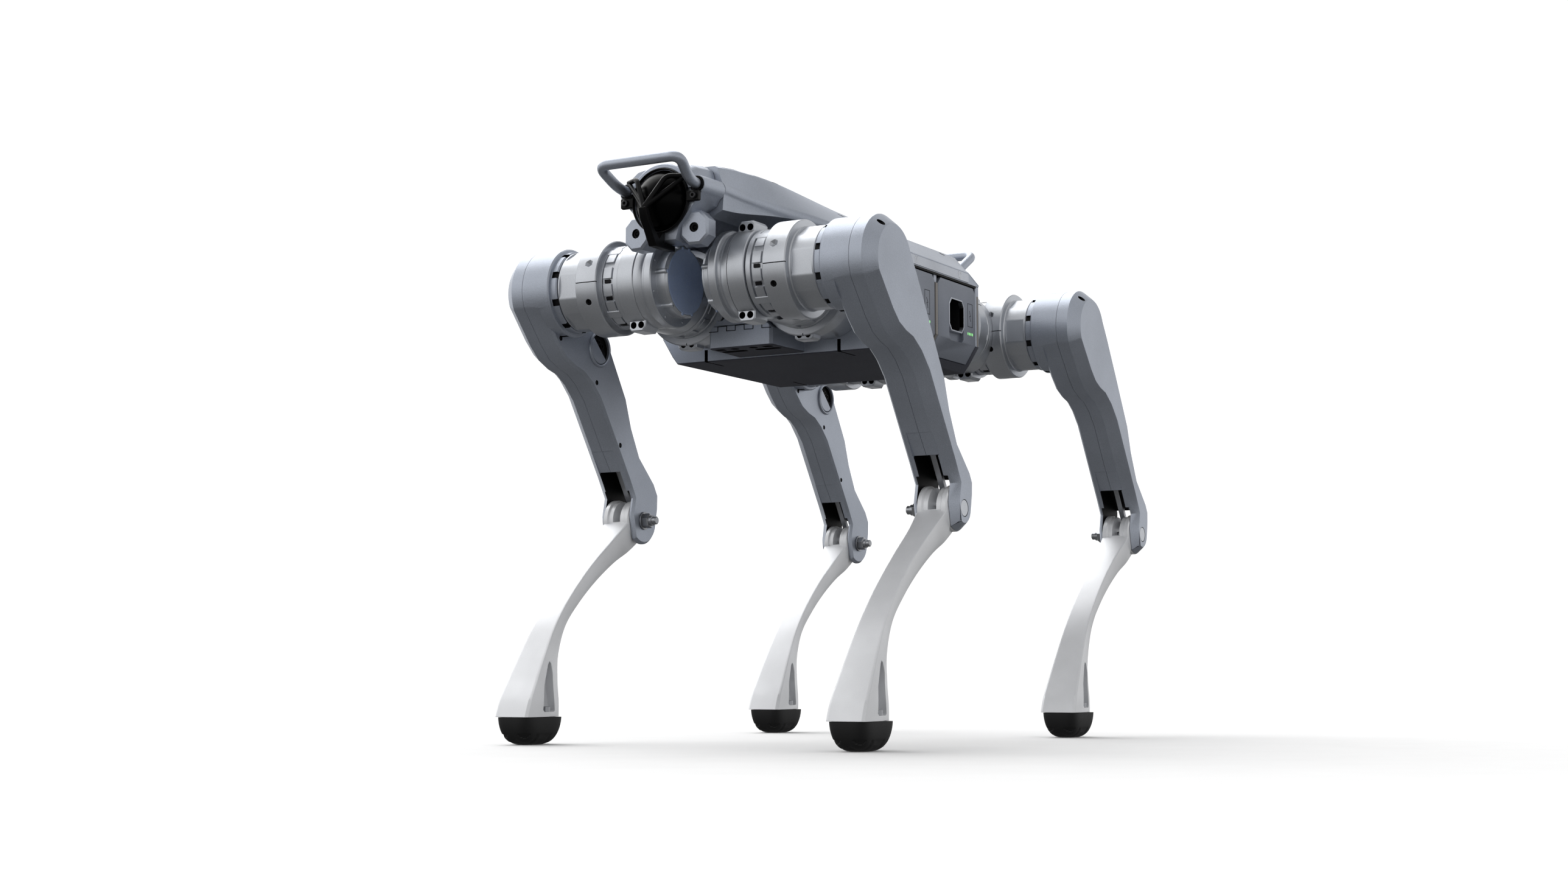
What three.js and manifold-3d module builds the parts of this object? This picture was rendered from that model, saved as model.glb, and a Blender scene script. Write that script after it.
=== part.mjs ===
// Quadruped robot: a trunk with four identical legs, each driven at the hip (abduction),
// at the thigh (pitch) and, through a push rod inside the thigh, at the knee.
// Millimetres, +X forward, +Y to the robot's left, +Z up, floor at z = 0.
import * as THREE from 'three';
import { mergeVertices } from 'three/addons/utils/BufferGeometryUtils.js';
import Module from 'manifold-3d';

// ---- driving dimensions ------------------------------------------------------------

const HIP_X = 250;            // thigh pitch axes in front of and behind the trunk's middle
const HIP_Z = 464.7;          // height of the thigh pitch axes
const FRAME_SHIFT = 28.3;     // moves the middle of the overall length onto x = 0
const LEG_PLANE = 190.5;      // middle plane of a leg, outward from the robot's middle plane
const KNEE = [-151, -227.7];  // knee axis from the thigh pitch axis, as x and z
const LEVER = 17;             // arm of the crank and of the calf's lever
const ABDUCTION_Y = 70;       // abduction axes to each side of the robot's middle plane
const TRUNK_FRONT = 113;
const TRUNK_REAR = -111.5;
const TRUNK_HALF = 137;       // half the trunk's width
const BELLY_Z = 404;
const DECK_Z = 538.5;
const GAP = 0.35;             // between faces that touch
const RUNNING_GAP = 0.5;      // between faces that slide on each other
const SIDES = 18;             // flats round a motor
const SMALL_SIDES = 10;       // flats round a pin or bolt

// ---- finishes ----------------------------------------------------------------------

const finish = (color, roughness, metalness) =>
  new THREE.MeshStandardMaterial({ color, roughness, metalness });
const SHELL = finish(0x7d8796, 0.45, 0.6);
const MOTOR = finish(0xb4b7ba, 0.4, 0.75);
const CALF_ALLOY = finish(0xc6cacf, 0.35, 0.8);
const RUBBER = finish(0x17181a, 0.85, 0);
const STEEL = finish(0x9aa0a8, 0.3, 0.95);
const DARK_PLASTIC = finish(0x24262b, 0.55, 0.1);
const LENS = finish(0x050506, 0.08, 0.2);
const BATTERY = finish(0x565b64, 0.55, 0.2);

// ---- solids ------------------------------------------------------------------------

const wasm = await Module();
wasm.setup();

// A closed three.js geometry as a solid, with its faces turned outward.
function solid(geometry) {
  geometry.deleteAttribute('normal');
  geometry.deleteAttribute('uv');
  const merged = mergeVertices(geometry, 1e-4);
  const place = merged.attributes.position;
  const corner = [0, 1, 2].map(() => new THREE.Vector3());
  const kept = [];
  let volume = 0;
  for (let i = 0; i < merged.index.count; i += 3) {
    const [a, b, c] = [0, 1, 2].map((k) => merged.index.getX(i + k));
    if (a === b || b === c || c === a) continue;
    [a, b, c].forEach((index, k) => corner[k].fromBufferAttribute(place, index));
    volume += corner[0].dot(corner[1].cross(corner[2]));
    kept.push([a, b, c]);
  }
  const triVerts = new Uint32Array(kept.flatMap(([a, b, c]) => (volume < 0 ? [a, c, b] : [a, b, c])));
  return new wasm.Manifold(new wasm.Mesh({ numProp: 3, vertProperties: place.array, triVerts }));
}

function geometryOf(shape) {
  const mesh = shape.getMesh();
  const geometry = new THREE.BufferGeometry();
  geometry.setAttribute('position', new THREE.BufferAttribute(mesh.vertProperties, 3));
  geometry.setIndex(new THREE.BufferAttribute(mesh.triVerts, 1));
  return geometry;
}

const join = (first, ...others) => others.reduce((whole, piece) => whole.add(piece), first);
const cut = (first, ...tools) => tools.reduce((whole, tool) => whole.subtract(tool), first);

// Where an outline's two directions and its thickness point, by the axis it is thickened along.
const OUTLINE_FRAMES = {
  x: new THREE.Matrix4().makeBasis(
    new THREE.Vector3(0, 1, 0), new THREE.Vector3(0, 0, 1), new THREE.Vector3(1, 0, 0)),
  y: new THREE.Matrix4().makeBasis(
    new THREE.Vector3(1, 0, 0), new THREE.Vector3(0, 0, 1), new THREE.Vector3(0, -1, 0)),
  z: new THREE.Matrix4(),
};

// A flat outline thickened along an axis: x takes (y, z), y takes (x, z) and z takes (x, y).
function prism(axis, outline, from, to) {
  const shape = new THREE.Shape(outline.map(([a, b]) => new THREE.Vector2(a, b)));
  const geometry = new THREE.ExtrudeGeometry(shape, { depth: to - from, bevelEnabled: false });
  geometry.applyMatrix4(OUTLINE_FRAMES[axis]);
  const start = axis === 'y' ? to : from;
  const place = new THREE.Vector3();
  place[axis] = start;
  geometry.translate(place.x, place.y, place.z);
  return solid(geometry);
}

const box = (x, y, z) =>
  prism('z', [[x[0], y[0]], [x[1], y[0]], [x[1], y[1]], [x[0], y[1]]], z[0], z[1]);

// A turned piece: stations of [radius, place along the axis], closed onto the axis at both ends.
function turned(axis, stations, centre = [0, 0, 0], sides = SIDES) {
  const first = stations[0][1];
  const last = stations[stations.length - 1][1];
  const profile = [[0, first], ...stations, [0, last]].map(([r, along]) => new THREE.Vector2(r, along));
  const geometry = new THREE.LatheGeometry(profile, sides);
  geometry.rotateY(Math.PI / sides);
  if (axis === 'x') geometry.rotateZ(-Math.PI / 2);
  if (axis === 'z') geometry.rotateX(Math.PI / 2);
  geometry.translate(...centre);
  return solid(geometry);
}

const rod = (axis, radius, from, to, centre = [0, 0, 0], sides = SIDES) =>
  turned(axis, [[radius, from], [radius, to]], centre, sides);

// Sections of equally many points, each at its own place along an axis, skinned in order.
function loft(axis, sections) {
  const vectors = (outline) => outline.map(([a, b]) => new THREE.Vector2(a, b));
  const backward = THREE.ShapeUtils.isClockWise(vectors(sections[0].outline));
  const rings = sections.map(({ at, outline }) => ({ at, outline: backward ? [...outline].reverse() : outline }));
  const count = rings[0].outline.length;
  const positions = rings.flatMap(({ at, outline }) =>
    outline.flatMap(([a, b]) => (axis === 'x' ? [at, a, b] : [a, at, b])));
  const index = [];
  for (let s = 0; s + 1 < rings.length; s += 1) {
    for (let i = 0; i < count; i += 1) {
      const [a, b] = [s * count + i, s * count + ((i + 1) % count)];
      index.push(a, b, a + count, b, b + count, a + count);
    }
  }
  const capOf = (ring) => THREE.ShapeUtils.triangulateShape(vectors(ring.outline), []);
  const lastStart = (rings.length - 1) * count;
  for (const [a, b, c] of capOf(rings[0])) index.push(a, c, b);
  for (const [a, b, c] of capOf(rings[rings.length - 1])) {
    index.push(a + lastStart, b + lastStart, c + lastStart);
  }
  const geometry = new THREE.BufferGeometry();
  geometry.setAttribute('position', new THREE.Float32BufferAttribute(positions, 3));
  geometry.setIndex(index);
  return solid(geometry);
}

// A round bar bent through corner points, each corner rounded off.
function bentBar(corners, radius, bend, sides = 8) {
  const points = corners.map((corner) => new THREE.Vector3(...corner));
  const path = new THREE.CurvePath();
  let from = points[0];
  for (let i = 1; i + 1 < points.length; i += 1) {
    const before = points[i].clone().lerp(points[i - 1], bend / points[i].distanceTo(points[i - 1]));
    const after = points[i].clone().lerp(points[i + 1], bend / points[i].distanceTo(points[i + 1]));
    path.add(new THREE.LineCurve3(from, before));
    path.add(new THREE.QuadraticBezierCurve3(before, points[i], after));
    from = after;
  }
  path.add(new THREE.LineCurve3(from, points[points.length - 1]));
  const ring = arc([0, 0], radius, 0, 360 - 360 / sides, sides - 1).map(([a, b]) => new THREE.Vector2(a, b));
  const steps = path.getSpacedPoints(4 * corners.length);
  const route = new THREE.CatmullRomCurve3(steps);
  const geometry = new THREE.ExtrudeGeometry(
    new THREE.Shape(ring), { extrudePath: route, steps: steps.length, bevelEnabled: false });
  return solid(geometry);
}

// Points along an arc, both ends included, angles in degrees.
function arc([a, b], radius, start, end, steps) {
  return Array.from({ length: steps + 1 }, (_, i) => {
    const angle = THREE.MathUtils.degToRad(start + ((end - start) * i) / steps);
    return [a + radius * Math.cos(angle), b + radius * Math.sin(angle)];
  });
}

// The outline moved inward by a wall's thickness; the outline runs anticlockwise.
function inset(outline, wall) {
  return outline.map((point, i) => {
    const before = outline[(i + outline.length - 1) % outline.length];
    const after = outline[(i + 1) % outline.length];
    const into = new THREE.Vector2(point[0] - before[0], point[1] - before[1]).normalize();
    const out = new THREE.Vector2(after[0] - point[0], after[1] - point[1]).normalize();
    const normal = new THREE.Vector2(-into.y - out.y, into.x + out.x).normalize();
    const reach = wall / Math.max(0.5, normal.dot(new THREE.Vector2(-into.y, into.x)));
    return [point[0] + normal.x * reach, point[1] + normal.y * reach];
  });
}

const mirrored = (half) => [...half, ...half.map(([a, b]) => [-a, b]).reverse()];

function part(name, shape, material) {
  const mesh = new THREE.Mesh(geometryOf(shape), material);
  mesh.name = name;
  return mesh;
}

// ---- a leg -------------------------------------------------------------------------
// Leg pieces are drawn from the thigh pitch axis: x forward, y outward from the robot's
// middle plane, z up. Places along y are distances from that middle plane.

const MOTOR_INNER = 19.5;     // inner face of the knee motor
const BAND = [55, 74];        // the clamp that carries both motors
const MOTOR_OUTER = 150;      // outer face of the thigh motor
const THIGH_INNER = 169;      // inner face of the thigh's beam
const THIGH_OUTER = 216.5;
const HOUSING = 46;           // radius of the thigh's round head
const KNEE_BOSS = 25.5;
const SHELL_WALL = 3;
const FORK = 16.9;            // half the slot between the knee cheeks
const HUB = 23.5;             // radius of the calf's hub
const GROOVE = 4.6;           // half the hub's groove for the push rod
const EYE = 6;                // radius of the push rod's eyes
const PIN = 3;
const AXLE = 4;
const FLANGE = 46;            // radius of the knee motor's flange
const RING_RADIUS = 48.9;     // radius of the thigh motor's wide ring
const CRADLE_ROOT = 20;       // where the cradle starts, from the pitch axis
const CRADLE_FACE = 56;       // from the pitch axis to the abduction motor's output face
const CRADLE_RADIUS = 43;

// The knee motor: a capped can with a wide flange and a tapered shoulder.
function kneeMotor() {
  return turned('y', [
    [34, MOTOR_INNER], [36, MOTOR_INNER + 2], [36, 33], [FLANGE, 34], [FLANGE, 41], [44, 43],
    [45, BAND[0] - GAP],
  ]);
}

// The thigh motor: a notched ring, the wide split ring and the long can behind the thigh.
function thighMotor() {
  const body = turned('y', [
    [43, BAND[1] + GAP], [43, 97], [RING_RADIUS, 97], [RING_RADIUS, 122.7], [41, 122.7],
    [41, MOTOR_OUTER],
  ]);
  const notch = (angle) => prism('y', [[39, -5], [60, -5], [60, 5], [39, 5]], 80, 90)
    .rotate([0, angle, 0]);
  return cut(body, ...[40, 0, -40, 180].map(notch));
}

// The clamp round the motors, with two-hole lugs, and the cradle bolted to the abduction motor.
function hipBracket(toTrunk) {
  const clamp = rod('y', 45.5, BAND[0], BAND[1]);
  const lug = (z) => box([-2, 22], BAND, z > 0 ? [38, z] : [z, -38]);
  const ends = [CRADLE_ROOT * toTrunk, CRADLE_FACE * toTrunk].sort((a, b) => a - b);
  const cradle = cut(
    rod('x', CRADLE_RADIUS, ...ends, [0, ABDUCTION_Y, 0]),
    rod('y', FLANGE + RUNNING_GAP, -10, BAND[0] - GAP / 2),
    rod('y', RING_RADIUS + RUNNING_GAP, BAND[1] + GAP / 2, MOTOR_OUTER + 10),
  );
  return join(clamp, lug(50), lug(-50), cradle);
}

// The side view of the thigh, anticlockwise, with the round head and the knee boss as arcs.
const THIGH_OUTLINE = [
  [-122, -186], [-133, -204], [-129, -222],
  ...arc(KNEE, KNEE_BOSS, 310, 195, 6),
  [-179.5, -214], [-180, -198], [-172, -185], [-143, -158], [-127, -128], [-116, -97],
  [-82, -42], [-54, 2],
  ...arc([0, 0], HOUSING, 155, -26, 9),
  [12, -53.7], [-3, -67], [-19, -74.2], [-34.5, -78.3], [-50, -87.9], [-66, -103.4],
].reverse();

const FORK_TOP = KNEE[1] + 31.7;       // the cheeks stand free below this
const WINDOW_TOP = KNEE[1] + 51.7;     // top of the open window above the knee

// The room inside the thigh for the crank and the push rod, open at the front window.
function thighRoom(from, to) {
  const inside = inset(THIGH_OUTLINE, SHELL_WALL).filter(([, z]) => z > FORK_TOP - 10);
  const room = prism('y', inside, from, to);
  const fork = box([-200, -90], [from, to], [KNEE[1] - 40, FORK_TOP]);
  const window = box([-150, -90], [from, to], [FORK_TOP - 1, WINDOW_TOP]);
  return join(room, fork, window);
}

function thighInner() {
  const head = turned('y', [
    [42, MOTOR_OUTER + GAP], [42, 157], [HOUSING, 158], [HOUSING, THIGH_INNER + 1],
  ]);
  const seam = LEG_PLANE - GAP / 2;
  return cut(
    join(prism('y', THIGH_OUTLINE, THIGH_INNER, seam), head),
    thighRoom(LEG_PLANE - FORK, seam + 1),
    rod('y', 12.2, MOTOR_OUTER, seam, [0, 0, 0], SMALL_SIDES),
    rod('y', AXLE + RUNNING_GAP, THIGH_INNER - 1, seam, [KNEE[0], 0, KNEE[1]], SMALL_SIDES),
  );
}

function thighCover() {
  const seam = LEG_PLANE + GAP / 2;
  const body = loft('y', [
    { at: seam, outline: THIGH_OUTLINE },
    { at: THIGH_OUTER - 11, outline: THIGH_OUTLINE },
    { at: THIGH_OUTER, outline: inset(THIGH_OUTLINE, 8) },
  ]);
  const [x, z] = KNEE;
  return cut(
    body,
    thighRoom(seam - 1, LEG_PLANE + FORK),
    rod('y', AXLE + RUNNING_GAP, seam, THIGH_OUTER + 1, [x, 0, z], SMALL_SIDES),
    rod('y', 9, THIGH_OUTER - 3, THIGH_OUTER + 1, [x, 0, z], SMALL_SIDES),
  );
}

// The knee's axle: a flush round head outside, and a washer, nut and stud tip inside.
function kneeBolt() {
  const nutFace = THIGH_INNER - GAP - 1.4;
  const stations = [
    [4.6, 152], [4.6, 160], [7.5, 160], [7.5, nutFace], [9.5, nutFace], [9.5, THIGH_INNER - GAP],
    [AXLE, THIGH_INNER - GAP], [AXLE, THIGH_OUTER - 3 + GAP], [8.6, THIGH_OUTER - 3 + GAP],
    [8.6, THIGH_OUTER - 0.3],
  ];
  return turned('y', stations, [KNEE[0], 0, KNEE[1]], SMALL_SIDES);
}

// The lever's direction at rest: behind the line from the knee to the hip.
const HIP_TO_KNEE = Math.atan2(KNEE[1], KNEE[0]);
const LEVER_ANGLE = HIP_TO_KNEE + Math.PI + THREE.MathUtils.degToRad(71.6);
const LEVER_PIN = [LEVER * Math.cos(LEVER_ANGLE), LEVER * Math.sin(LEVER_ANGLE)];

// The knee motor's crank: a hollow-through shaft, a disc and the crank pin.
function kneeCrank() {
  const disc = turned('y', [
    [11.5, MOTOR_OUTER + GAP], [11.5, 175.5], [26, 175.5], [26, LEG_PLANE - GROOVE + 0.4],
  ], [0, 0, 0], 16);
  const [x, z] = LEVER_PIN;
  return join(disc, rod('y', PIN, LEG_PLANE - GROOVE, LEG_PLANE + GROOVE, [x, 0, z], 8));
}

// The push rod from the crank pin to the calf's lever pin, with an eye at each end.
function pushRod() {
  const [x, z] = LEVER_PIN;
  const [from, to] = [LEG_PLANE - 3, LEG_PLANE + 3];
  const across = [-Math.sin(HIP_TO_KNEE) * 2.4, Math.cos(HIP_TO_KNEE) * 2.4];
  const bar = prism('y', [
    [x + across[0], z + across[1]], [x - across[0], z - across[1]],
    [x + KNEE[0] - across[0], z + KNEE[1] - across[1]],
    [x + KNEE[0] + across[0], z + KNEE[1] + across[1]],
  ], from, to);
  const ends = [[x, 0, z], [x + KNEE[0], 0, z + KNEE[1]]];
  const eyes = ends.map((centre) => rod('y', EYE, from, to, centre, SMALL_SIDES));
  const holes = ends.map((centre) => rod('y', PIN + 0.6, from - 1, to + 1, centre, 8));
  return cut(join(bar, ...eyes), ...holes);
}

// Heights below are from the thigh pitch axis.
const FLOOR = -HIP_Z;
const SOLE = FLOOR + 28;               // where the rubber foot meets the calf
const TOE = [57, -9.5];                // front and back of the foot, from the pitch axis
const FOOT_HALF = 20.6;

// The calf: a curved beam that swells into the foot, with the grooved hub at the knee.
function calf() {
  const front = [
    [-131, 236], [-103, 214], [-66, 186.5], [-30, 155], [-2, 124.5], [20, 93], [37, 66], [50, 45],
    [TOE[0], 28],
  ].map(([x, z]) => [x, z + FLOOR]);
  const back = [
    [TOE[1], 28], [-9.5, 45], [-8, 73], [-12, 98], [-30, 127], [-52, 147], [-82, 170],
    [-112, 189], [-140, 203], [-160, 213], [-160, 240],
  ].map(([x, z]) => [x, z + FLOOR]);
  const beam = prism('y', [...front, ...back], LEG_PLANE - FOOT_HALF, LEG_PLANE + FOOT_HALF);
  const widths = [[FOOT_HALF, 28], [20, 46], [16.2, 92], [13.2, 135], [12.4, 180], [16.3, 214], [16.3, 265]];
  const taper = prism('x', mirrored(widths.map(([half, z]) => [half, z + FLOOR])), -200, 100)
    .translate([0, LEG_PLANE, 0]);
  const hub = rod('y', HUB, LEG_PLANE - FORK + GAP, LEG_PLANE + FORK - GAP, [KNEE[0], 0, KNEE[1]]);
  const groove = rod('y', 34, LEG_PLANE - GROOVE, LEG_PLANE + GROOVE, [KNEE[0], 0, KNEE[1]]);
  const grooveArea = prism('y', [
    [32, 40], [-40, 40], [-40, -40], [-6, -8], [6, 0], [32, -3],
  ].map(([x, z]) => [KNEE[0] + x, KNEE[1] + z]), LEG_PLANE - GROOVE, LEG_PLANE + GROOVE);
  const bore = rod('y', AXLE + RUNNING_GAP, 160, 220, [KNEE[0], 0, KNEE[1]], SMALL_SIDES);
  const pin = rod('y', PIN, LEG_PLANE - GROOVE - 1, LEG_PLANE + GROOVE + 1,
    [KNEE[0] + LEVER_PIN[0], 0, KNEE[1] + LEVER_PIN[1]], 8);
  const pocket = (from, to) => prism('y', [
    [2, 33], [30, 33], [26, 60], [16, 84], [12, 86],
  ].map(([x, z]) => [x, z + FLOOR]), from, to);
  const pocketFloor = 8;
  return join(cut(
    join(beam.intersect(taper), hub),
    groove.intersect(grooveArea),
    bore,
    pocket(LEG_PLANE + pocketFloor, LEG_PLANE + 30),
    pocket(LEG_PLANE - 30, LEG_PLANE - pocketFloor),
  ), pin);
}

// The rubber foot: round from front to back and from side to side.
function foot() {
  const middle = (TOE[0] + TOE[1]) / 2;
  const half = (TOE[0] - TOE[1]) / 2;
  const bowl = (width, shoulder, steps) => {
    const flat = Math.cos(Math.PI / steps / 2);
    const round = arc([0, 0], 1, 0, -180, steps).map(([a, b]) => [
      width * Math.sign(a) * Math.abs(a) ** 0.8, FLOOR + shoulder + (shoulder * b) / flat]);
    return [[width, SOLE - GAP], ...round, [-width, SOLE - GAP]];
  };
  const along = prism('y', bowl(half, 18, 9).map(([a, z]) => [a + middle, z]),
    LEG_PLANE - FOOT_HALF, LEG_PLANE + FOOT_HALF);
  const across = prism('x', bowl(FOOT_HALF, 15, 7), TOE[1] - 1, TOE[0] + 1)
    .translate([0, LEG_PLANE, 0]);
  return along.intersect(across);
}

// One leg as nested groups; toTrunk is the way along x from this leg to the trunk.
function leg(prefix, hipX, side) {
  const group = new THREE.Group();
  group.position.set(hipX, 0, HIP_Z);
  group.scale.y = side;
  const pieces = [
    ['hip_bracket', hipBracket(-Math.sign(hipX)), MOTOR],
    ['knee_motor', kneeMotor(), MOTOR],
    ['thigh_motor', thighMotor(), MOTOR],
    ['thigh_inner_shell', thighInner(), SHELL],
    ['thigh_cover', thighCover(), SHELL],
    ['knee_axle_bolt', kneeBolt(), STEEL],
    ['knee_crank', kneeCrank(), STEEL],
    ['push_rod', pushRod(), STEEL],
    ['calf', calf(), CALF_ALLOY],
    ['foot', foot(), RUBBER],
  ];
  for (const [name, shape, material] of pieces) group.add(part(`${prefix}_${name}`, shape, material));
  return group;
}

// ---- the trunk ---------------------------------------------------------------------

const BULKHEAD = 8;
const SIDE_SECTION = [[118, BELLY_Z], [124.3, 412], [TRUNK_HALF, 432.5], [TRUNK_HALF, 500]];
const CORE_HALF = 96;         // half the width of the box between the side bays
const BAY_TOP = 499.6;
const MOTOR_END = HIP_X - CRADLE_FACE - RUNNING_GAP;
const SWEEP = 62.5;           // the reach of the motors that turn with the hip

// The space that the abduction motors fill, at the front or at the rear, with clearance.
const motorSpace = (end, extra) => [1, -1].map((side) => rod(
  'x', 51 + extra, ...(end > 0 ? [end, 197] : [-197, end]), [0, side * ABDUCTION_Y, HIP_Z]));

// The space that the hip motors sweep as the hips turn.
const sweepSpace = () => [1, -1].map((side) => rod(
  'x', SWEEP, 198, 302, [0, side * ABDUCTION_Y, HIP_Z]));

// The belly tub: floor, box between the bays, end bulkheads, middle pillar and front tongue.
function chassis() {
  const pan = mirrored(SIDE_SECTION.slice(0, 2));
  const full = mirrored([...SIDE_SECTION.slice(0, 3), [TRUNK_HALF, BAY_TOP]]);
  const bulkhead = (from) => prism('x', full, from, from + BULKHEAD);
  const pillar = prism('x', mirrored([[118, 405], [TRUNK_HALF - 2, 432.5], [TRUNK_HALF - 2, BAY_TOP]]), -8, -1);
  const tongue = prism('z', [
    [100, -40], [116, -40], [150, -38], [176, -38], [178, -36], [178, 36], [176, 38], [150, 38],
    [116, 40], [100, 40],
  ], 406, 429);
  const slot = (x, y, long, wide) => box([x - long, x + long], [y - wide, y + wide], [405, 412]);
  return cut(
    join(
      prism('x', pan, TRUNK_REAR, TRUNK_FRONT),
      box([TRUNK_REAR, TRUNK_FRONT], [-CORE_HALF, CORE_HALF], [410, BAY_TOP]),
      bulkhead(TRUNK_FRONT - BULKHEAD), bulkhead(TRUNK_REAR), pillar,
      cut(tongue, ...motorSpace(110, RUNNING_GAP)),
    ),
    ...[28, -28].map((y) => slot(169, y, 4, 5)),
    ...[11, -11].map((y) => rod('z', 4.5, 405, 412, [169, y, 0], SMALL_SIDES)),
    ...[20, -20].map((y) => slot(154, y, 5, 13)),
  );
}

// The cross-member above the tongue, between the abduction motors, with two cable holes.
function bracket(front) {
  const way = front ? 1 : -1;
  const x = [118, 176.5].map((place) => place * way).sort((a, b) => a - b);
  const block = box(x, [-46, 46], [429 + GAP, 456]);
  const holes = [-24, 24].map((y) => rod(
    'x', 6, x[0] - 1, x[1] + 1, [0, y, 441], SMALL_SIDES));
  const spaces = motorSpace(front ? 110 : -110, RUNNING_GAP);
  return cut(block, ...spaces, ...(front ? holes : []));
}

// A battery, or the closed cover on the other side, with an octagonal finger pocket.
function sideModule(from, to, side, pocketAt) {
  const depth = 40;
  const section = [
    [CORE_HALF + GAP, 412.6], [124.6, 412.6], [TRUNK_HALF - 0.2, 432.6], [TRUNK_HALF - 0.2, 497],
    [CORE_HALF + GAP, 497],
  ];
  const body = prism('x', section.map(([y, z]) => [y * side, z]), from, to);
  if (pocketAt === undefined) return body;
  const pocket = prism('y', [
    [-18, 450], [-12, 443], [12, 443], [18, 450], [18, 471], [12, 478], [-12, 478], [-18, 471],
  ].map(([x, z]) => [x + pocketAt, z]), TRUNK_HALF - depth + 12, TRUNK_HALF + 1);
  return cut(body, pocket);
}

// The top cover in sections from tail to neck: the middle, the shoulder, the crease, the lip.
function topCover() {
  const section = (at, top, shoulder, shoulderZ, crease, creaseZ, bottom) => ({
    at,
    outline: mirrored([[0.01, bottom], [crease, bottom], [crease, creaseZ], [shoulder, shoulderZ], [0.01, top]]),
  });
  const sections = [
    section(-215, DECK_Z - 3, 64, DECK_Z - 3, 72, 528, 517),
    section(-190, DECK_Z, 74, DECK_Z, 84, 528, 517),
    section(-132, DECK_Z, 94, DECK_Z, 104, 528, 517),
    section(-112, DECK_Z, 106, DECK_Z, TRUNK_HALF, 502, 500),
    section(-86, DECK_Z, 106, DECK_Z, TRUNK_HALF, 512, 500),
    section(50, DECK_Z, 106, DECK_Z, TRUNK_HALF, 512, 500),
    section(80, 548, 94, 544, TRUNK_HALF, 513, 500),
    section(TRUNK_FRONT, 558, 76, 553, TRUNK_HALF - 2, 514, 500),
    section(TRUNK_FRONT + 0.5, 558, 76, 553, TRUNK_HALF - 2, 514, 517),
    section(150, 566, 62, 562.5, 112, 521, 517),
    section(190, 570.5, 54, 568.5, 90, 528, 517),
    section(230, 571.3, 50, 570, 68, 536, 517),
    section(262, 571.3, 46, 570, 56, 541, 517),
    section(292, 569.5, 42, 568, 52, 544, 517),
  ];
  const neck = box([190, 292], [-7, 7], [490, 530]);
  return cut(
    join(loft('x', sections), neck),
    ...motorSpace(TRUNK_FRONT + 0.3, RUNNING_GAP), ...motorSpace(-TRUNK_FRONT + 1, RUNNING_GAP),
    ...sweepSpace(),
    rearHandle(GAP),
  );
}

// The head: a chin block under a round brow, bored for the range sensor.
const BROW_FRONT = 328.4;
const GUARD_RADIUS = 32.6;
const SENSOR = [0, 531];      // middle of the range sensor, as y and z
function headShell() {
  const section = (at, top, side, tube, chin, bottom) => ({
    at,
    outline: mirrored([
      [0.01, bottom], [chin, bottom], [chin + 4, bottom + 14], [side - 4, 529], [tube, 537], [tube, 549],
      [side, 555], [side - 6, top - 4], [side - 14, top - 1.5], [0.01, top],
    ]),
  });
  const body = loft('x', [
    section(292.4, 569.5, 46, 52, 17, 502), section(303, 569.5, 46, 51, 18, 490),
    section(318, 568, 44, 50, 17, 490), section(326, 565, 42, 49, 16, 492),
  ]);
  const brow = cut(
    rod('x', 37.4, 318, BROW_FRONT, [0, ...SENSOR], 32), box([310, 340], [-40, 40], [480, 541]),
  );
  return cut(
    join(body, brow),
    rod('x', 30, 306, 330, [0, ...SENSOR]), rod('x', GUARD_RADIUS + 0.6, 326, 332, [0, ...SENSOR], 32),
    frontHandle(GAP), ...sweepSpace(),
  );
}

// The range sensor: a short drum with a domed window.
function rangeSensor() {
  return turned('x', [
    [29.5, 306.5], [29.5, 322], [28, 330], [23.5, 338], [16, 344], [7, 347.5],
  ], [0, ...SENSOR], 24);
}

// The guard cage: a ring, a middle rib that wraps under the chin, and a frame of bars on each side
// from the rib's upper end to beside the handle's foot. An ear on each side takes a bolt.
function sensorGuard() {
  const ring = cut(
    rod('x', GUARD_RADIUS, 326.4, 331, [0, ...SENSOR], 32),
    rod('x', 30.6, 326, 332, [0, ...SENSOR], 32),
  );
  const rib = prism('y', [
    [308, 489.4], [308, 483.5], [343, 483.5], [352, 498], [359.5, 508], [362, 518.5], [357, 521.5],
    [352.5, 511], [345, 500.5], [337, 492.5], [331, 499.5], [327, 499.5], [327, 489.4],
  ], -4.5, 4.5);
  const [hub, shoulder, tip] = [[358.5, 0, 519], [345, 17, 551], [335, 33, 551]];
  const bars = [1, -1].flatMap((side) => {
    const [start, corner, end] = [hub, shoulder, tip].map(([x, y, z]) => [x, y * side, z]);
    return [bentBar([start, corner, end], 2.5, 4, 6), bentBar([start, end], 2.3, 0, 6)];
  });
  const ears = [1, -1].map((side) => box([326.4, 331], [side * 31, side * 45], [526.5, 537.5]));
  return join(ring, rib, ...bars, ...ears);
}

// A camera pod: a block with chamfered corners, turned outward, with a recessed lens.
// Growing it makes the cutter for its seat in the head.
function cameraPod(side, grow = 0) {
  const corner = 8.5;
  const [high, wide] = [16.5, 15];
  const face = [
    [wide - corner, -high], [wide, corner - high], [wide, high - corner], [wide - corner, high],
    [corner - wide, high], [-wide, high - corner], [-wide, corner - high], [corner - wide, -high],
  ];
  const block = cut(
    prism('x', inset(face, -grow), -9 - grow, 12 + grow),
    rod('x', 5.6, 9, 13, [0, 0, 0], SMALL_SIDES),
  );
  return cut(
    block.rotate([0, 0, side * 6]).translate([309, side * 32.5, 503]),
    rod('x', 30.2, 300, 327, [0, ...SENSOR]), rod('x', GUARD_RADIUS + 0.6, 326, 340, [0, ...SENSOR]),
    ...sweepSpace(),
  );
}

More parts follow.
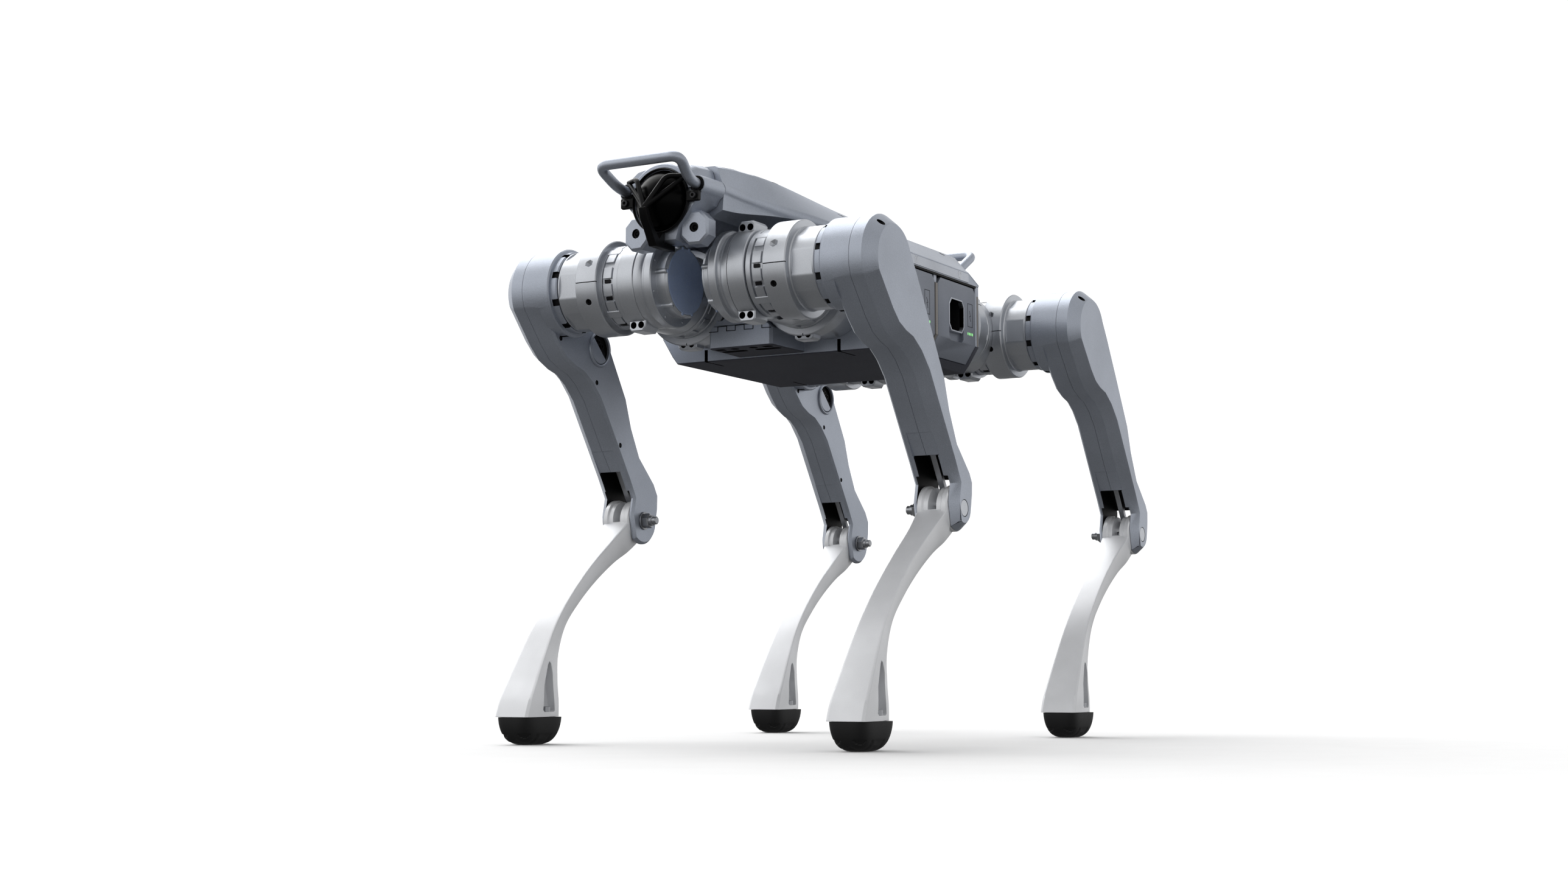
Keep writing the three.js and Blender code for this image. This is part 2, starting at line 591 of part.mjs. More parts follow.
// The carrying handles: bent bars with their feet in sockets. A clearance makes the socket's cutter.
function handle([barX, barHalf, barZ], knee, [footX, footHalf, footZ], clearance) {
  const bend = 12;
  const half = [[footX, footHalf, footZ], ...knee, [barX, barHalf, barZ]];
  const other = half.map(([x, y, z]) => [x, -y, z]).reverse();
  return bentBar([...half, ...other], HANDLE_RADIUS + clearance, bend);
}

const HANDLE_RADIUS = 5.4;
const frontHandle = (clearance = 0) => handle(
  [368, 47, 563.2], [[341, 41, 545]], [318, 40, 543.5], clearance,
);
const rearHandle = (clearance = 0) => handle([-243.5, 70, 564.8], [], [-198, 65, 534], clearance);

// An abduction motor: its can against the bulkhead and its notched output ring at the hip.
function abductionMotor(x, side) {
  const way = Math.sign(x);
  const places = [113.4, 150, 151, 170, 171, MOTOR_END];
  const radii = [47, 47, 51, 51, 44, 44];
  const stations = radii.map((radius, i) => [radius, places[i] * way]);
  return turned('x', way > 0 ? stations : stations.reverse(), [0, side * ABDUCTION_Y, HIP_Z]);
}

function trunk() {
  const group = new THREE.Group();
  const bay = [TRUNK_REAR + BULKHEAD + GAP, -8 - GAP, -1 + GAP, TRUNK_FRONT - BULKHEAD - GAP];
  const head = cut(headShell(), cameraPod(1, GAP), cameraPod(-1, GAP));
  const pieces = [
    ['chassis', chassis(), SHELL],
    ['front_cross_member', bracket(true), SHELL],
    ['rear_cross_member', bracket(false), SHELL],
    ['battery_front', sideModule(bay[2], bay[3], 1, 52), BATTERY],
    ['battery_rear', sideModule(bay[0], bay[1], 1, -54), BATTERY],
    ['side_cover_front', sideModule(bay[2], bay[3], -1), BATTERY],
    ['side_cover_rear', sideModule(bay[0], bay[1], -1), BATTERY],
    ['top_cover', topCover(), SHELL],
    ['head_shell', head, SHELL],
    ['range_sensor', rangeSensor(), LENS],
    ['sensor_guard', sensorGuard(), DARK_PLASTIC],
    ['camera_left', cameraPod(1), SHELL],
    ['camera_right', cameraPod(-1), SHELL],
    ['front_handle', frontHandle(), SHELL],
    ['rear_handle', rearHandle(), SHELL],
    ['abduction_motor_fl', abductionMotor(1, 1), MOTOR],
    ['abduction_motor_fr', abductionMotor(1, -1), MOTOR],
    ['abduction_motor_rl', abductionMotor(-1, 1), MOTOR],
    ['abduction_motor_rr', abductionMotor(-1, -1), MOTOR],
  ];
  for (const [name, shape, material] of pieces) group.add(part(name, shape, material));
  return group;
}

// ---- the robot ---------------------------------------------------------------------

const robot = new THREE.Group();
robot.position.x = FRAME_SHIFT;
robot.add(trunk());
for (const [prefix, hipX, side] of [
  ['fl', HIP_X, 1], ['fr', HIP_X, -1], ['rl', -HIP_X, 1], ['rr', -HIP_X, -1],
]) {
  robot.add(leg(prefix, hipX, side));
}

export default robot;
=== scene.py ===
"""The looks of a quadruped robot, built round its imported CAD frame.

Shapes are worked out in millimetres. Leg pieces are drawn from the thigh pitch axis (x forward,
y outward from the robot's middle plane, z up) and trunk pieces from the floor under the middle
of the trunk. Each is placed in the CAD frame, in metres, when it is shown.
"""
import math

import bmesh
import bpy
from mathutils import Matrix, Vector


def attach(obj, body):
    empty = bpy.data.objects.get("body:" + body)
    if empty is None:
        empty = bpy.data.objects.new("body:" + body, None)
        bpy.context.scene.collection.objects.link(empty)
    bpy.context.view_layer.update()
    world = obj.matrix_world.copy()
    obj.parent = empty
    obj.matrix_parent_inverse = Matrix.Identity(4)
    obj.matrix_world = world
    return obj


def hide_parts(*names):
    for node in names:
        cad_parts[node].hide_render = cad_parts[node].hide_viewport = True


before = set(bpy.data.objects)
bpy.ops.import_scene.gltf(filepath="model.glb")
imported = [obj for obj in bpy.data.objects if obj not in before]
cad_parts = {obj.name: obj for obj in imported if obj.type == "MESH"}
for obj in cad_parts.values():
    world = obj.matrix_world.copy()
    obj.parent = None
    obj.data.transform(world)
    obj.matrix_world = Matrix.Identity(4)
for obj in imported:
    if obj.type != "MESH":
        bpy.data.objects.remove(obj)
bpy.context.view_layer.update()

# ---- driving dimensions, in millimetres -----------------------------------------------

MM = 0.001
HIP_X = 250               # thigh pitch axes in front of and behind the trunk's middle
HIP_Z = 464.7             # height of the thigh pitch axes
FRAME_SHIFT = 28.3        # the trunk's middle in the CAD frame
LEG_PLANE = 190.5         # middle plane of a leg, outward from the robot's middle plane
KNEE = (-151, -227.7)     # knee axis from the thigh pitch axis, as x and z
ABDUCTION_Y = 70          # abduction axes to each side of the robot's middle plane
TRUNK_FRONT = 113
TRUNK_REAR = -111.5
TRUNK_HALF = 137
BELLY_Z = 404
DECK_Z = 538.5
COVER_TOP = 571.1
SEAM_GAP = 0.35
ROUND = 72                # flats round a motor
SMALL_ROUND = 24          # flats round a bolt
MAIN, INSIDE, DOWNWARD = 0, 1, 2   # material places: the outside, the walls of holes (dark, as painted shade), the underside (dark, as painted shade)

LEGS = [("fl", HIP_X, 1), ("fr", HIP_X, -1), ("rl", -HIP_X, 1), ("rr", -HIP_X, -1)]


# ---- procedural materials ---------------------------------------------------------------

def material(name, color, roughness, metallic=0.0, grain=0.9, relief=0.12, tint=0.08,
             edge=0.5, shine=0.5, glow=0.0):
    """A finish with broad tone changes, a fine grain in its relief and roughness, and soft edges."""
    made = bpy.data.materials.new(name)
    made.use_nodes = True
    nodes = made.node_tree.nodes
    links = made.node_tree.links
    shader = nodes["Principled BSDF"]
    shader.inputs["Metallic"].default_value = metallic
    shader.inputs["Specular IOR Level"].default_value = shine
    place = nodes.new("ShaderNodeTexCoord")

    def noise(scale, detail):
        node = nodes.new("ShaderNodeTexNoise")
        node.inputs["Scale"].default_value = scale
        node.inputs["Detail"].default_value = detail
        links.new(place.outputs["Object"], node.inputs["Vector"])
        return node

    broad = noise(14, 3)
    fine = noise(1000 / grain, 2)
    tones = nodes.new("ShaderNodeValToRGB")
    tones.color_ramp.elements[0].position = 0.3
    tones.color_ramp.elements[1].position = 0.7
    tones.color_ramp.elements[0].color = (*[c * (1 - tint) for c in color], 1)
    tones.color_ramp.elements[1].color = (*[min(1, c * (1 + tint)) for c in color], 1)
    links.new(broad.outputs["Fac"], tones.inputs["Fac"])
    speckle = nodes.new("ShaderNodeMix")
    speckle.data_type = "RGBA"
    speckle.blend_type = "OVERLAY"
    speckle.inputs["Factor"].default_value = 0.22
    links.new(tones.outputs["Color"], speckle.inputs["A"])
    links.new(fine.outputs["Fac"], speckle.inputs["B"])
    links.new(speckle.outputs["Result"], shader.inputs["Base Color"])

    gloss = nodes.new("ShaderNodeMapRange")
    gloss.inputs["To Min"].default_value = roughness * 0.82
    gloss.inputs["To Max"].default_value = min(1, roughness * 1.2)
    links.new(fine.outputs["Fac"], gloss.inputs["Value"])
    links.new(gloss.outputs["Result"], shader.inputs["Roughness"])

    bump = nodes.new("ShaderNodeBump")
    bump.inputs["Strength"].default_value = relief
    bump.inputs["Distance"].default_value = 0.0004
    links.new(fine.outputs["Fac"], bump.inputs["Height"])
    if edge:
        soft = nodes.new("ShaderNodeBevel")
        soft.samples = 4
        soft.inputs["Radius"].default_value = edge * MM
        links.new(soft.outputs["Normal"], bump.inputs["Normal"])
    links.new(bump.outputs["Normal"], shader.inputs["Normal"])
    if glow:
        links.new(speckle.outputs["Result"], shader.inputs["Emission Color"])
        shader.inputs["Emission Strength"].default_value = glow
    return made


SHELL = material("shell_paint", (0.4, 0.432, 0.495), 0.42, metallic=0.75, relief=0.3)
# Near black on every belly face that points down: painted shade under the trunk.
SHADED_UNDERSIDE = material("belly_painted_shade", (0.065, 0.068, 0.085), 0.8, grain=2.5, relief=0.6, shine=0.25)
MOTOR = material("motor_anodised", (0.52, 0.54, 0.575), 0.37, metallic=0.85, grain=0.6)
MOTOR_CAP = material("motor_cap", (0.5, 0.6, 0.8), 0.5, metallic=0.5, relief=0.35)
CALF = material("calf_silver", (0.76, 0.77, 0.79), 0.45, metallic=0.35, grain=0.6, edge=1.0)
BATTERY = material("battery_plastic", (0.22, 0.24, 0.285), 0.5, metallic=0.4, relief=0.3)
TRIM = material("battery_trim", (0.25, 0.235, 0.22), 0.5, metallic=0.3)
STRIP = material("label_strip", (0.55, 0.58, 0.64), 0.45, metallic=0.5)
RUBBER = material("foot_rubber", (0.008, 0.008, 0.0085), 0.6, relief=0.2, edge=0.3, shine=0.3)
GUARD = material("guard_plastic", (0.0025, 0.0025, 0.0028), 0.35, relief=0.1, edge=0.8, shine=0.12)
DOME = material("dome_window", (0.0012, 0.0012, 0.0014), 0.3, relief=0.004, edge=0, shine=0.05)
# Near black: painted shade on the walls of holes, slits and pockets and in narrow gaps; also the colour of
# dark print, seams and plugs.
DARK = material("painted_shade_and_dark_marks", (0.005, 0.005, 0.006), 0.6, edge=0, shine=0.2)
STEEL = material("plated_steel", (0.36, 0.37, 0.39), 0.3, metallic=0.95, grain=0.4)
BLACK_SCREW = material("blackened_screw", (0.02, 0.02, 0.022), 0.35, metallic=0.6)
PRINT = material("white_print", (0.8, 0.82, 0.84), 0.6, edge=0)
LAMP = material("charge_lamp", (0.32, 0.95, 0.3), 0.4, glow=0.7, edge=0)


# ---- closed meshes ----------------------------------------------------------------------

def closed(vertices, faces, place=MAIN):
    """A closed mesh with its faces turned outward."""
    bm = bmesh.new()
    corners = [bm.verts.new(v) for v in vertices]
    for face in faces:
        bm.faces.new([corners[i] for i in face])
    bmesh.ops.remove_doubles(bm, verts=bm.verts, dist=1e-5)
    bmesh.ops.recalc_face_normals(bm, faces=bm.faces)
    mesh = bpy.data.meshes.new("shape")
    bm.to_mesh(mesh)
    bm.free()
    for polygon in mesh.polygons:
        polygon.material_index = place
    return mesh


def skinned(rings, capped=True, looped=False):
    """Rings of equally many points, skinned in order and capped at both ends."""
    count = len(rings[0])
    vertices = [point for ring in rings for point in ring]
    faces = []
    spans = len(rings) if looped else len(rings) - 1
    for s in range(spans):
        here = s * count
        there = ((s + 1) % len(rings)) * count
        for i in range(count):
            j = (i + 1) % count
            faces.append((here + i, here + j, there + j, there + i))
    if capped and not looped:
        faces.append(tuple(range(count)))
        faces.append(tuple(range((len(rings) - 1) * count, len(rings) * count)))
    return closed(vertices, faces)


def spot(axis, along, a, b):
    """A point at a place along an axis; a and b are its other two coordinates, in order."""
    return {"x": (along, a, b), "y": (a, along, b), "z": (a, b, along)}[axis]


def loft(axis, sections):
    return skinned([[spot(axis, at, a, b) for a, b in outline] for at, outline in sections])


def prism(axis, outline, start, end, edge=0.0, edges=(True, True)):
    """An outline thickened along an axis, its rims chamfered by edge where edges says so."""
    low = edge if edges[0] else 0
    high = edge if edges[1] else 0
    sections = []
    if low:
        sections.append((start, inset(outline, low)))
    sections.append((start + low, outline))
    sections.append((end - high, outline))
    if high:
        sections.append((end, inset(outline, high)))
    return loft(axis, sections)


def block(x, y, z, edge=0.0):
    outline = [(x[0], y[0]), (x[1], y[0]), (x[1], y[1]), (x[0], y[1])]
    return prism("z", outline, z[0], z[1], edge)


def circle(radius, sides, centre=(0, 0), start=0.0):
    steps = [2 * math.pi * i / sides + math.radians(start) for i in range(sides)]
    return [(centre[0] + radius * math.cos(t), centre[1] + radius * math.sin(t)) for t in steps]


def arc(centre, radius, start, end, steps):
    """Points along an arc, both ends included, angles in degrees."""
    angles = [math.radians(start + (end - start) * i / steps) for i in range(steps + 1)]
    return [(centre[0] + radius * math.cos(t), centre[1] + radius * math.sin(t)) for t in angles]


def turned(axis, stations, centre=(0, 0, 0), sides=ROUND, start=0.0):
    """A turned piece from stations of (radius, place along the axis)."""
    a, b = {"x": (1, 2), "y": (0, 2), "z": (0, 1)}[axis]
    along = "xyz".index(axis)
    sections = [
        (at + centre[along], circle(max(r, 0.01), sides, (centre[a], centre[b]), start))
        for r, at in stations
    ]
    return loft(axis, sections)


def rod(axis, radius, start, end, centre=(0, 0, 0), sides=SMALL_ROUND, edge=0.0):
    if not edge:
        return turned(axis, [(radius, start), (radius, end)], centre, sides)
    rim = [(radius - edge, start), (radius, start + edge), (radius, end - edge), (radius - edge, end)]
    return turned(axis, rim, centre, sides)


def hoop(axis, profile, centre=(0, 0, 0), sides=ROUND):
    """A ring: a closed profile of (radius, place along the axis), carried round the axis."""
    a, b = {"x": (1, 2), "y": (0, 2), "z": (0, 1)}[axis]
    along = "xyz".index(axis)
    rings = []
    for i in range(sides):
        t = 2 * math.pi * i / sides
        rings.append([
            spot(axis, at + centre[along], centre[a] + r * math.cos(t), centre[b] + r * math.sin(t))
            for r, at in profile
        ])
    return skinned(rings, looped=True)


def inset(outline, wall):
    """The outline moved inward by a wall's thickness, whichever way it runs."""
    area = sum(
        a[0] * b[1] - b[0] * a[1] for a, b in zip(outline, outline[1:] + outline[:1])
    )
    way = 1 if area > 0 else -1
    moved = []
    for i, point in enumerate(outline):
        here = Vector(point)
        into = (here - Vector(outline[i - 1])).normalized()
        out = (Vector(outline[(i + 1) % len(outline)]) - here).normalized()
        normal = Vector((-into.y - out.y, into.x + out.x)).normalized() * way
        reach = wall / max(0.5, normal.dot(Vector((-into.y, into.x)) * way))
        moved.append(tuple(here + normal * reach))
    return moved


def mirrored(half):
    return half + [(-a, b) for a, b in reversed(half)]


def smooth_line(points, steps):
    """A smooth line through points, with so many steps between each two."""
    line = []
    padded = [points[0], *points, points[-1]]
    for i in range(1, len(padded) - 2):
        p0, p1, p2, p3 = (Vector(p) for p in padded[i - 1:i + 3])
        for s in range(steps):
            t = s / steps
            line.append(tuple(0.5 * (
                2 * p1 + (p2 - p0) * t + (2 * p0 - 5 * p1 + 4 * p2 - p3) * t ** 2
                + (3 * p1 - p0 - 3 * p2 + p3) * t ** 3
            )))
    return [*line, tuple(points[-1])]


def moved(mesh, turn_axis=None, angle=0.0, about=(0, 0, 0), shift=(0, 0, 0)):
    """The mesh turned about a point, in degrees, then shifted."""
    matrix = Matrix.Translation(Vector(about) + Vector(shift))
    if turn_axis:
        matrix = matrix @ Matrix.Rotation(math.radians(angle), 4, turn_axis)
    mesh.transform(matrix @ Matrix.Translation(-Vector(about)))
    return mesh


def flipped(mesh, x=1, y=1):
    """The mesh mirrored across x = 0, y = 0 or both."""
    copy = mesh.copy()
    copy.transform(Matrix.Diagonal((x, y, 1, 1)))
    if x * y < 0:
        copy.flip_normals()
    return copy


def gathered(*meshes):
    """Several closed meshes as one, each body kept whole."""
    bm = bmesh.new()
    for mesh in meshes:
        bm.from_mesh(mesh)
    joined = bpy.data.meshes.new("shape")
    bm.to_mesh(joined)
    bm.free()
    return joined


def boolean(base, tools, operation):
    """The base after an exact join, cut or crop with each tool in turn."""
    scene = bpy.context.scene.collection
    subject = bpy.data.objects.new("subject", base)
    helpers = [bpy.data.objects.new("tool", tool) for tool in tools]
    for item in (subject, *helpers):
        scene.objects.link(item)
    for helper in helpers:
        step = subject.modifiers.new("step", "BOOLEAN")
        step.operation = operation
        step.solver = "MANIFOLD"
        step.object = helper
    bpy.context.view_layer.update()
    done = subject.evaluated_get(bpy.context.evaluated_depsgraph_get())
    mesh = bpy.data.meshes.new_from_object(done)
    for item in (subject, *helpers):
        bpy.data.objects.remove(item)
    return mesh


def cut(base, *tools, place=INSIDE):
    """The base with tools taken out; the walls they leave get the material at place, by default the dark one
    that paints the shade inside holes, slits and pockets.
    """
    for tool in tools:
        for polygon in tool.polygons:
            polygon.material_index = place
    for mesh in (base, *tools):
        while len(mesh.materials) < 2:
            mesh.materials.append(None)
    return boolean(base, tools, "DIFFERENCE")


def joined(base, *tools):
    return boolean(base, tools, "UNION")


def cropped(base, *tools):
    return boolean(base, tools, "INTERSECT")


# ---- showing pieces ---------------------------------------------------------------------

def show(name, mesh, body, finishes, replaced=(), matrix=Matrix.Identity(4)):
    """A finished piece in the CAD frame, riding on a body and standing for CAD nodes."""
    mesh = mesh.copy()
    mesh.transform(Matrix.Scale(MM, 4) @ matrix)
    if matrix.determinant() < 0:
        mesh.flip_normals()
    mesh.name = name
    places = [min(polygon.material_index, len(finishes) - 1) for polygon in mesh.polygons]
    mesh.materials.clear()
    for finish in finishes:
        mesh.materials.append(finish)
    for polygon, place in zip(mesh.polygons, places):
        polygon.use_smooth = True
        polygon.material_index = place
    mesh.set_sharp_from_angle(angle=math.radians(32))
    piece = bpy.data.objects.new(name, mesh)
    bpy.context.scene.collection.objects.link(piece)
    weights = piece.modifiers.new("flat_faces_stay_flat", "WEIGHTED_NORMAL")
    weights.keep_sharp = True
    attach(piece, body)
    if replaced:
        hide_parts(*replaced)
    return piece


TRUNK_PLACE = Matrix.Translation((FRAME_SHIFT, 0, 0))


def show_trunk(name, mesh, finishes, replaced=()):
    return show(name, mesh, "trunk", finishes, replaced, TRUNK_PLACE)


def show_leg(suffix, mesh, body, finishes, replaced=(), rear=None):
    """A leg piece on all four legs; rear is the mesh for the rear legs, if theirs differs."""
    for prefix, hip_x, side in LEGS:
        chosen = rear if rear is not None and hip_x < 0 else mesh
        place = Matrix.Translation((hip_x + FRAME_SHIFT, 0, HIP_Z)) @ Matrix.Diagonal((1, side, 1, 1))
        nodes = [f"{prefix}_{node}" for node in replaced]
        show(f"{prefix}_{suffix}", chosen, f"{prefix}_{body}", finishes, nodes, place)


# ---- the hip motors ---------------------------------------------------------------------

MOTOR_INNER = 19.5        # inner face of the knee motor
BAND = (55, 74)           # the clamp that carries both motors
MOTOR_OUTER = 150
RING = (97, 122.7)        # the wide split ring
RING_RADIUS = 48.9
CRADLE_FACE = 56          # from the pitch axis to the abduction motor's output face


def around(mesh_of, angles, axis="Y"):
    """The same small piece at several angles round the leg's pitch axis."""
    return [moved(mesh_of(), axis, -angle) for angle in angles]


def knee_motor():
    case = turned("y", [
        (34.2, MOTOR_INNER + 0.6), (34.8, 22.4), (35.6, 23.2), (35.6, 33), (44.9, 33.2), (45.9, 34.3),
        (45.9, 41), (45.1, 42), (42.2, 42.9), (42.2, 45.8), (43.4, 46.8), (44.7, 50.4),
        (44.8, BAND[0] - SEAM_GAP),
    ])
    flat = block((-60, 60), (30, 42.4), (44.4, 60))
    case = cut(case, flat, place=MAIN)
    post = lambda: rod("y", 2.7, MOTOR_INNER + 1.2, 34, (34.6, 0, 0), 16, 0.8)
    rivet = lambda: rod("y", 1.1, 32.6, 34, (41, 0, 0), 12, 0.3)
    case = gathered(case, *around(post, range(10, 370, 60)), *around(rivet, range(25, 385, 45)))
    cap = turned("y", [(31.8, MOTOR_INNER), (33.3, MOTOR_INNER + 0.5), (33.6, MOTOR_INNER + 1.4)])
    boss = lambda: rod("y", 2.0, MOTOR_INNER + 0.1, MOTOR_INNER + 1.5, (33.6, 0, 0), 14, 0.4)
    show_leg("knee_motor_case", case, "hip", [MOTOR, DARK], ["knee_motor"])
    show_leg("knee_motor_cap", gathered(cap, *around(boss, (10, 80, 100, 250, 280))),
             "hip", [MOTOR_CAP])


def hip_bracket(to_trunk):
    """The clamp with its two-hole lugs, and the cradle bolted to the abduction motor."""
    clamp = turned("y", [(44.7, BAND[0]), (45.5, BAND[0] + 0.8), (45.5, BAND[1] - 0.8), (44.7, BAND[1])])
    lug_outline = [(53.6, 36), (54.4, 45), (57.6, 50), (71.2, 50), (74, 47), (74, 36)]
    lugs = [
        prism("x", [(y, z * way) for y, z in lug_outline], -2, 22, 1.2, (False, True))
        for way in (1, -1)
    ]
    near, far = sorted((20 * to_trunk, CRADLE_FACE * to_trunk))
    cradle = cut(
        rod("x", 43, near, far, (0, ABDUCTION_Y, 0), ROUND, 1),
        rod("y", 46.5, -10, BAND[0] - 0.2, sides=ROUND),
        rod("y", 49.4, BAND[1] + 0.15, 160, sides=ROUND),
        place=MAIN,
    )
    holes = [
        rod("x", 3.5, 12, 23, (0, y, z * way), SMALL_ROUND)
        for y in (59.4, 68.4) for z, way in ((43.6, 1), (43.6, -1))
    ]
    return cut(joined(clamp, *lugs, cradle), *holes)


def thigh_motor():
    """The notched ring, the wide split ring with its slits and dimples, and the long can."""
    body = turned("y", [
        (42, BAND[1] + SEAM_GAP), (43, BAND[1] + 1.2), (43, 80.2), (40.8, 81), (40.8, 93), (42.6, 93.8),
        (42.6, RING[0]), (47.9, RING[0]), (RING_RADIUS, RING[0] + 1), (RING_RADIUS, RING[1] - 1),
        (47.9, RING[1]), (41.8, RING[1] + 0.2), (41, RING[1] + 1.4), (41, MOTOR_OUTER - 1), (40, MOTOR_OUTER),
    ])
    flat = lambda: block((39.3, 52), (RING[1] + 3, 147.5), (-15, 15))
    slit = lambda: block((46.6, 52), (RING[0] - 1, RING[1] + 1), (-0.45, 0.45))
    dimple = lambda: turned("x", [(0, 44.4), (7.6, 51.4)], (0, 108, 0), 6, 30)
    keyhole = lambda: turned("x", [(2.1, 45.6), (2.4, 47.6), (4.4, 50)], (0, 108, 0), SMALL_ROUND)
    body = cut(body, *around(flat, range(0, 360, 60)), *around(dimple, (24, 156, 270)), place=MAIN)
    body = cut(body, *around(slit, (0, 180)), *around(keyhole, (-24, 204)))
    wedge = lambda: prism(
        "y", arc((0, 0), 40, -8, 8, 4) + arc((0, 0), 43, 8, -8, 4), 82, 92.4, 0.5)
    tab = lambda: block((40, 43.4), (79.5, 94.5), (-4.2, 4.2), 0.5)
    blocks = [*around(wedge, range(12, 372, 24)), *around(tab, (48, 132, 228, 312))]
    plug = lambda: block((40, 42.2), (84, 90.5), (-1.9, 1.9), 0.3)
    show_leg("thigh_motor_case", gathered(body, *blocks), "hip", [MOTOR, DARK], ["thigh_motor"])
    show_leg("thigh_motor_plugs", gathered(*around(plug, range(0, 360, 48))), "hip", [DARK])


# ---- the thigh --------------------------------------------------------------------------

THIGH_INNER = 169
THIGH_OUTER = 216.5
HOUSING = 46
KNEE_BOSS = 25.5
SHELL_WALL = 3
FORK = 16.9               # half the slot between the knee cheeks
WINDOW_HALF = 13.6        # half the width of the window above the knee
FORK_TOP = KNEE[1] + 31.7
WINDOW_TOP = KNEE[1] + 51.7
RECESS_TOP = KNEE[1] + 73

THIGH_OUTLINE = list(reversed([
    (-122, -186), (-133, -204), (-129, -222),
    *arc(KNEE, KNEE_BOSS, 310, 195, 20),
    (-179.5, -214), (-180, -198), (-172, -185), (-143, -158), (-127, -128), (-116, -97),
    (-82, -42), (-54, 2),
    *arc((0, 0), HOUSING, 155, -26, 40),
    (12, -53.7), (-3, -67), (-19, -74.2), (-34.5, -78.3), (-50, -87.9), (-66, -103.4),
]))


def front_edge(z):
    """The x of the thigh's straight front edge at a height."""
    return -66 + (z + 103.4) * (-122 + 66) / (-186 + 103.4)


def thigh_openings(start, end):
    """Cutters for the room inside, the fork, the window and the shallow step above it."""
    low, high = sorted((start, end))
    inside = [p for p in inset(THIGH_OUTLINE, SHELL_WALL) if p[1] > FORK_TOP - 10]
    reach = lambda half: (max(low, LEG_PLANE - half), min(high, LEG_PLANE + half))
    room = prism("y", inside, *reach(FORK))
    fork = block((-200, -90), reach(FORK), (KNEE[1] - 40, FORK_TOP))
    window = block((-150, -90), reach(WINDOW_HALF), (FORK_TOP - 1, WINDOW_TOP))
    return [room, fork, window], prism("y", [
        (front_edge(RECESS_TOP) + 9, RECESS_TOP), (front_edge(RECESS_TOP) - 0.6, RECESS_TOP),
        (front_edge(WINDOW_TOP) - 2.8, WINDOW_TOP - 1), (front_edge(WINDOW_TOP) + 9, WINDOW_TOP - 1),
    ], *reach(WINDOW_HALF + 0.6))


def thigh_inner_shell():
    seam = LEG_PLANE - SEAM_GAP / 2
    beam = prism("y", THIGH_OUTLINE, THIGH_INNER, seam, 2.6, (True, False))
    head = turned("y", [
        (41, 150.4), (42.2, 151.4), (42.2, 157.4), (44.8, 158), (HOUSING, 159.4), (HOUSING, 172),
    ])
    # The walls of the room, fork and window inside the thigh take the dark colour, as painted shade.
    dark, step = thigh_openings(THIGH_INNER + 4, seam + 1)
    notch = lambda: block((39.4, 50), (149, 156.8), (-3.6, 3.6))
    screws = [(7, -47), (-59, -86), (-104, -149)]
    holes = [rod("y", 2.7, 160, THIGH_INNER + 4, (x, 0, z)) for x, z in screws]
    bore = rod("y", 4.6, THIGH_INNER - 1, seam, (KNEE[0], 0, KNEE[1]))
    well = rod("y", 16.5, THIGH_INNER - 5, THIGH_INNER + 3.4, (-63, 0, -50), 48)
    shell = joined(beam, head)
    shell = cut(shell, step, place=MAIN)
    shell = cut(shell, *dark, *around(notch, range(-62, 298, 40)), *holes, bore, well)
    show_leg("thigh_inner_case", shell, "thigh", [SHELL, DARK], ["thigh_inner_shell"])

    heads = [rod("y", 2.2, THIGH_INNER + 0.9, THIGH_INNER + 3.9, (x, 0, z), 6, 0.3) for x, z in screws]
    show_leg("thigh_screws", gathered(*heads), "thigh", [BLACK_SCREW])
    rim = hoop("y", [
        (16.4, 170.5), (16.4, 167.6), (17.2, 166.8), (18.4, 166.8), (19.4, 168.2), (19.4, 170.5),
    ], (-63, 0, -50), 48)
    lid = prism("y", arc((-63, -50), 15.6, -135, 45, 24), 167.4, 170.6, 0.5)
    show_leg("connector_rim", gathered(rim, lid), "thigh", [SHELL])
    pins = [hoop("y", [(1.5, 172.2), (1.5, 170), (2.6, 170), (2.6, 172.2)], (x, 0, z), 16)
            for x, z in ((-64, -42), (-70, -46))]
    socket = block((-75, -66), (169.6, 172.2), (-60, -52), 0.6)
    show_leg("connector_pins", gathered(*pins, socket), "thigh", [GUARD])


def thigh_cover():
    seam = LEG_PLANE + SEAM_GAP / 2
    body = loft("y", [
        (seam, THIGH_OUTLINE), (204, THIGH_OUTLINE), (205, inset(THIGH_OUTLINE, 0.7)),
        (214.4, inset(THIGH_OUTLINE, 8.6)), (THIGH_OUTER - 0.2, inset(THIGH_OUTLINE, 10.6)),
    ])
    # Here too the walls of the room, fork and window take the dark colour, as painted shade.
    dark, step = thigh_openings(seam - 1, LEG_PLANE + FORK)
    x, z = KNEE
    cap_seat = rod("y", 8.9, THIGH_OUTER - 3, THIGH_OUTER + 1, (x, 0, z), 48)
    bore = rod("y", 4.6, seam, THIGH_OUTER + 1, (x, 0, z))
    screw = rod("y", 3.1, 203, 220, (20, 0, 34), SMALL_ROUND)
    body = cut(body, step, place=MAIN)
    body = cut(body, *dark, cap_seat, bore, screw)
    show_leg("thigh_outer_cover", body, "thigh", [SHELL, DARK], ["thigh_cover"])
    head = rod("y", 2.5, 202.6, 204.6, (20, 0, 34), 6, 0.4)
    show_leg("cover_screw", head, "thigh", [BLACK_SCREW])


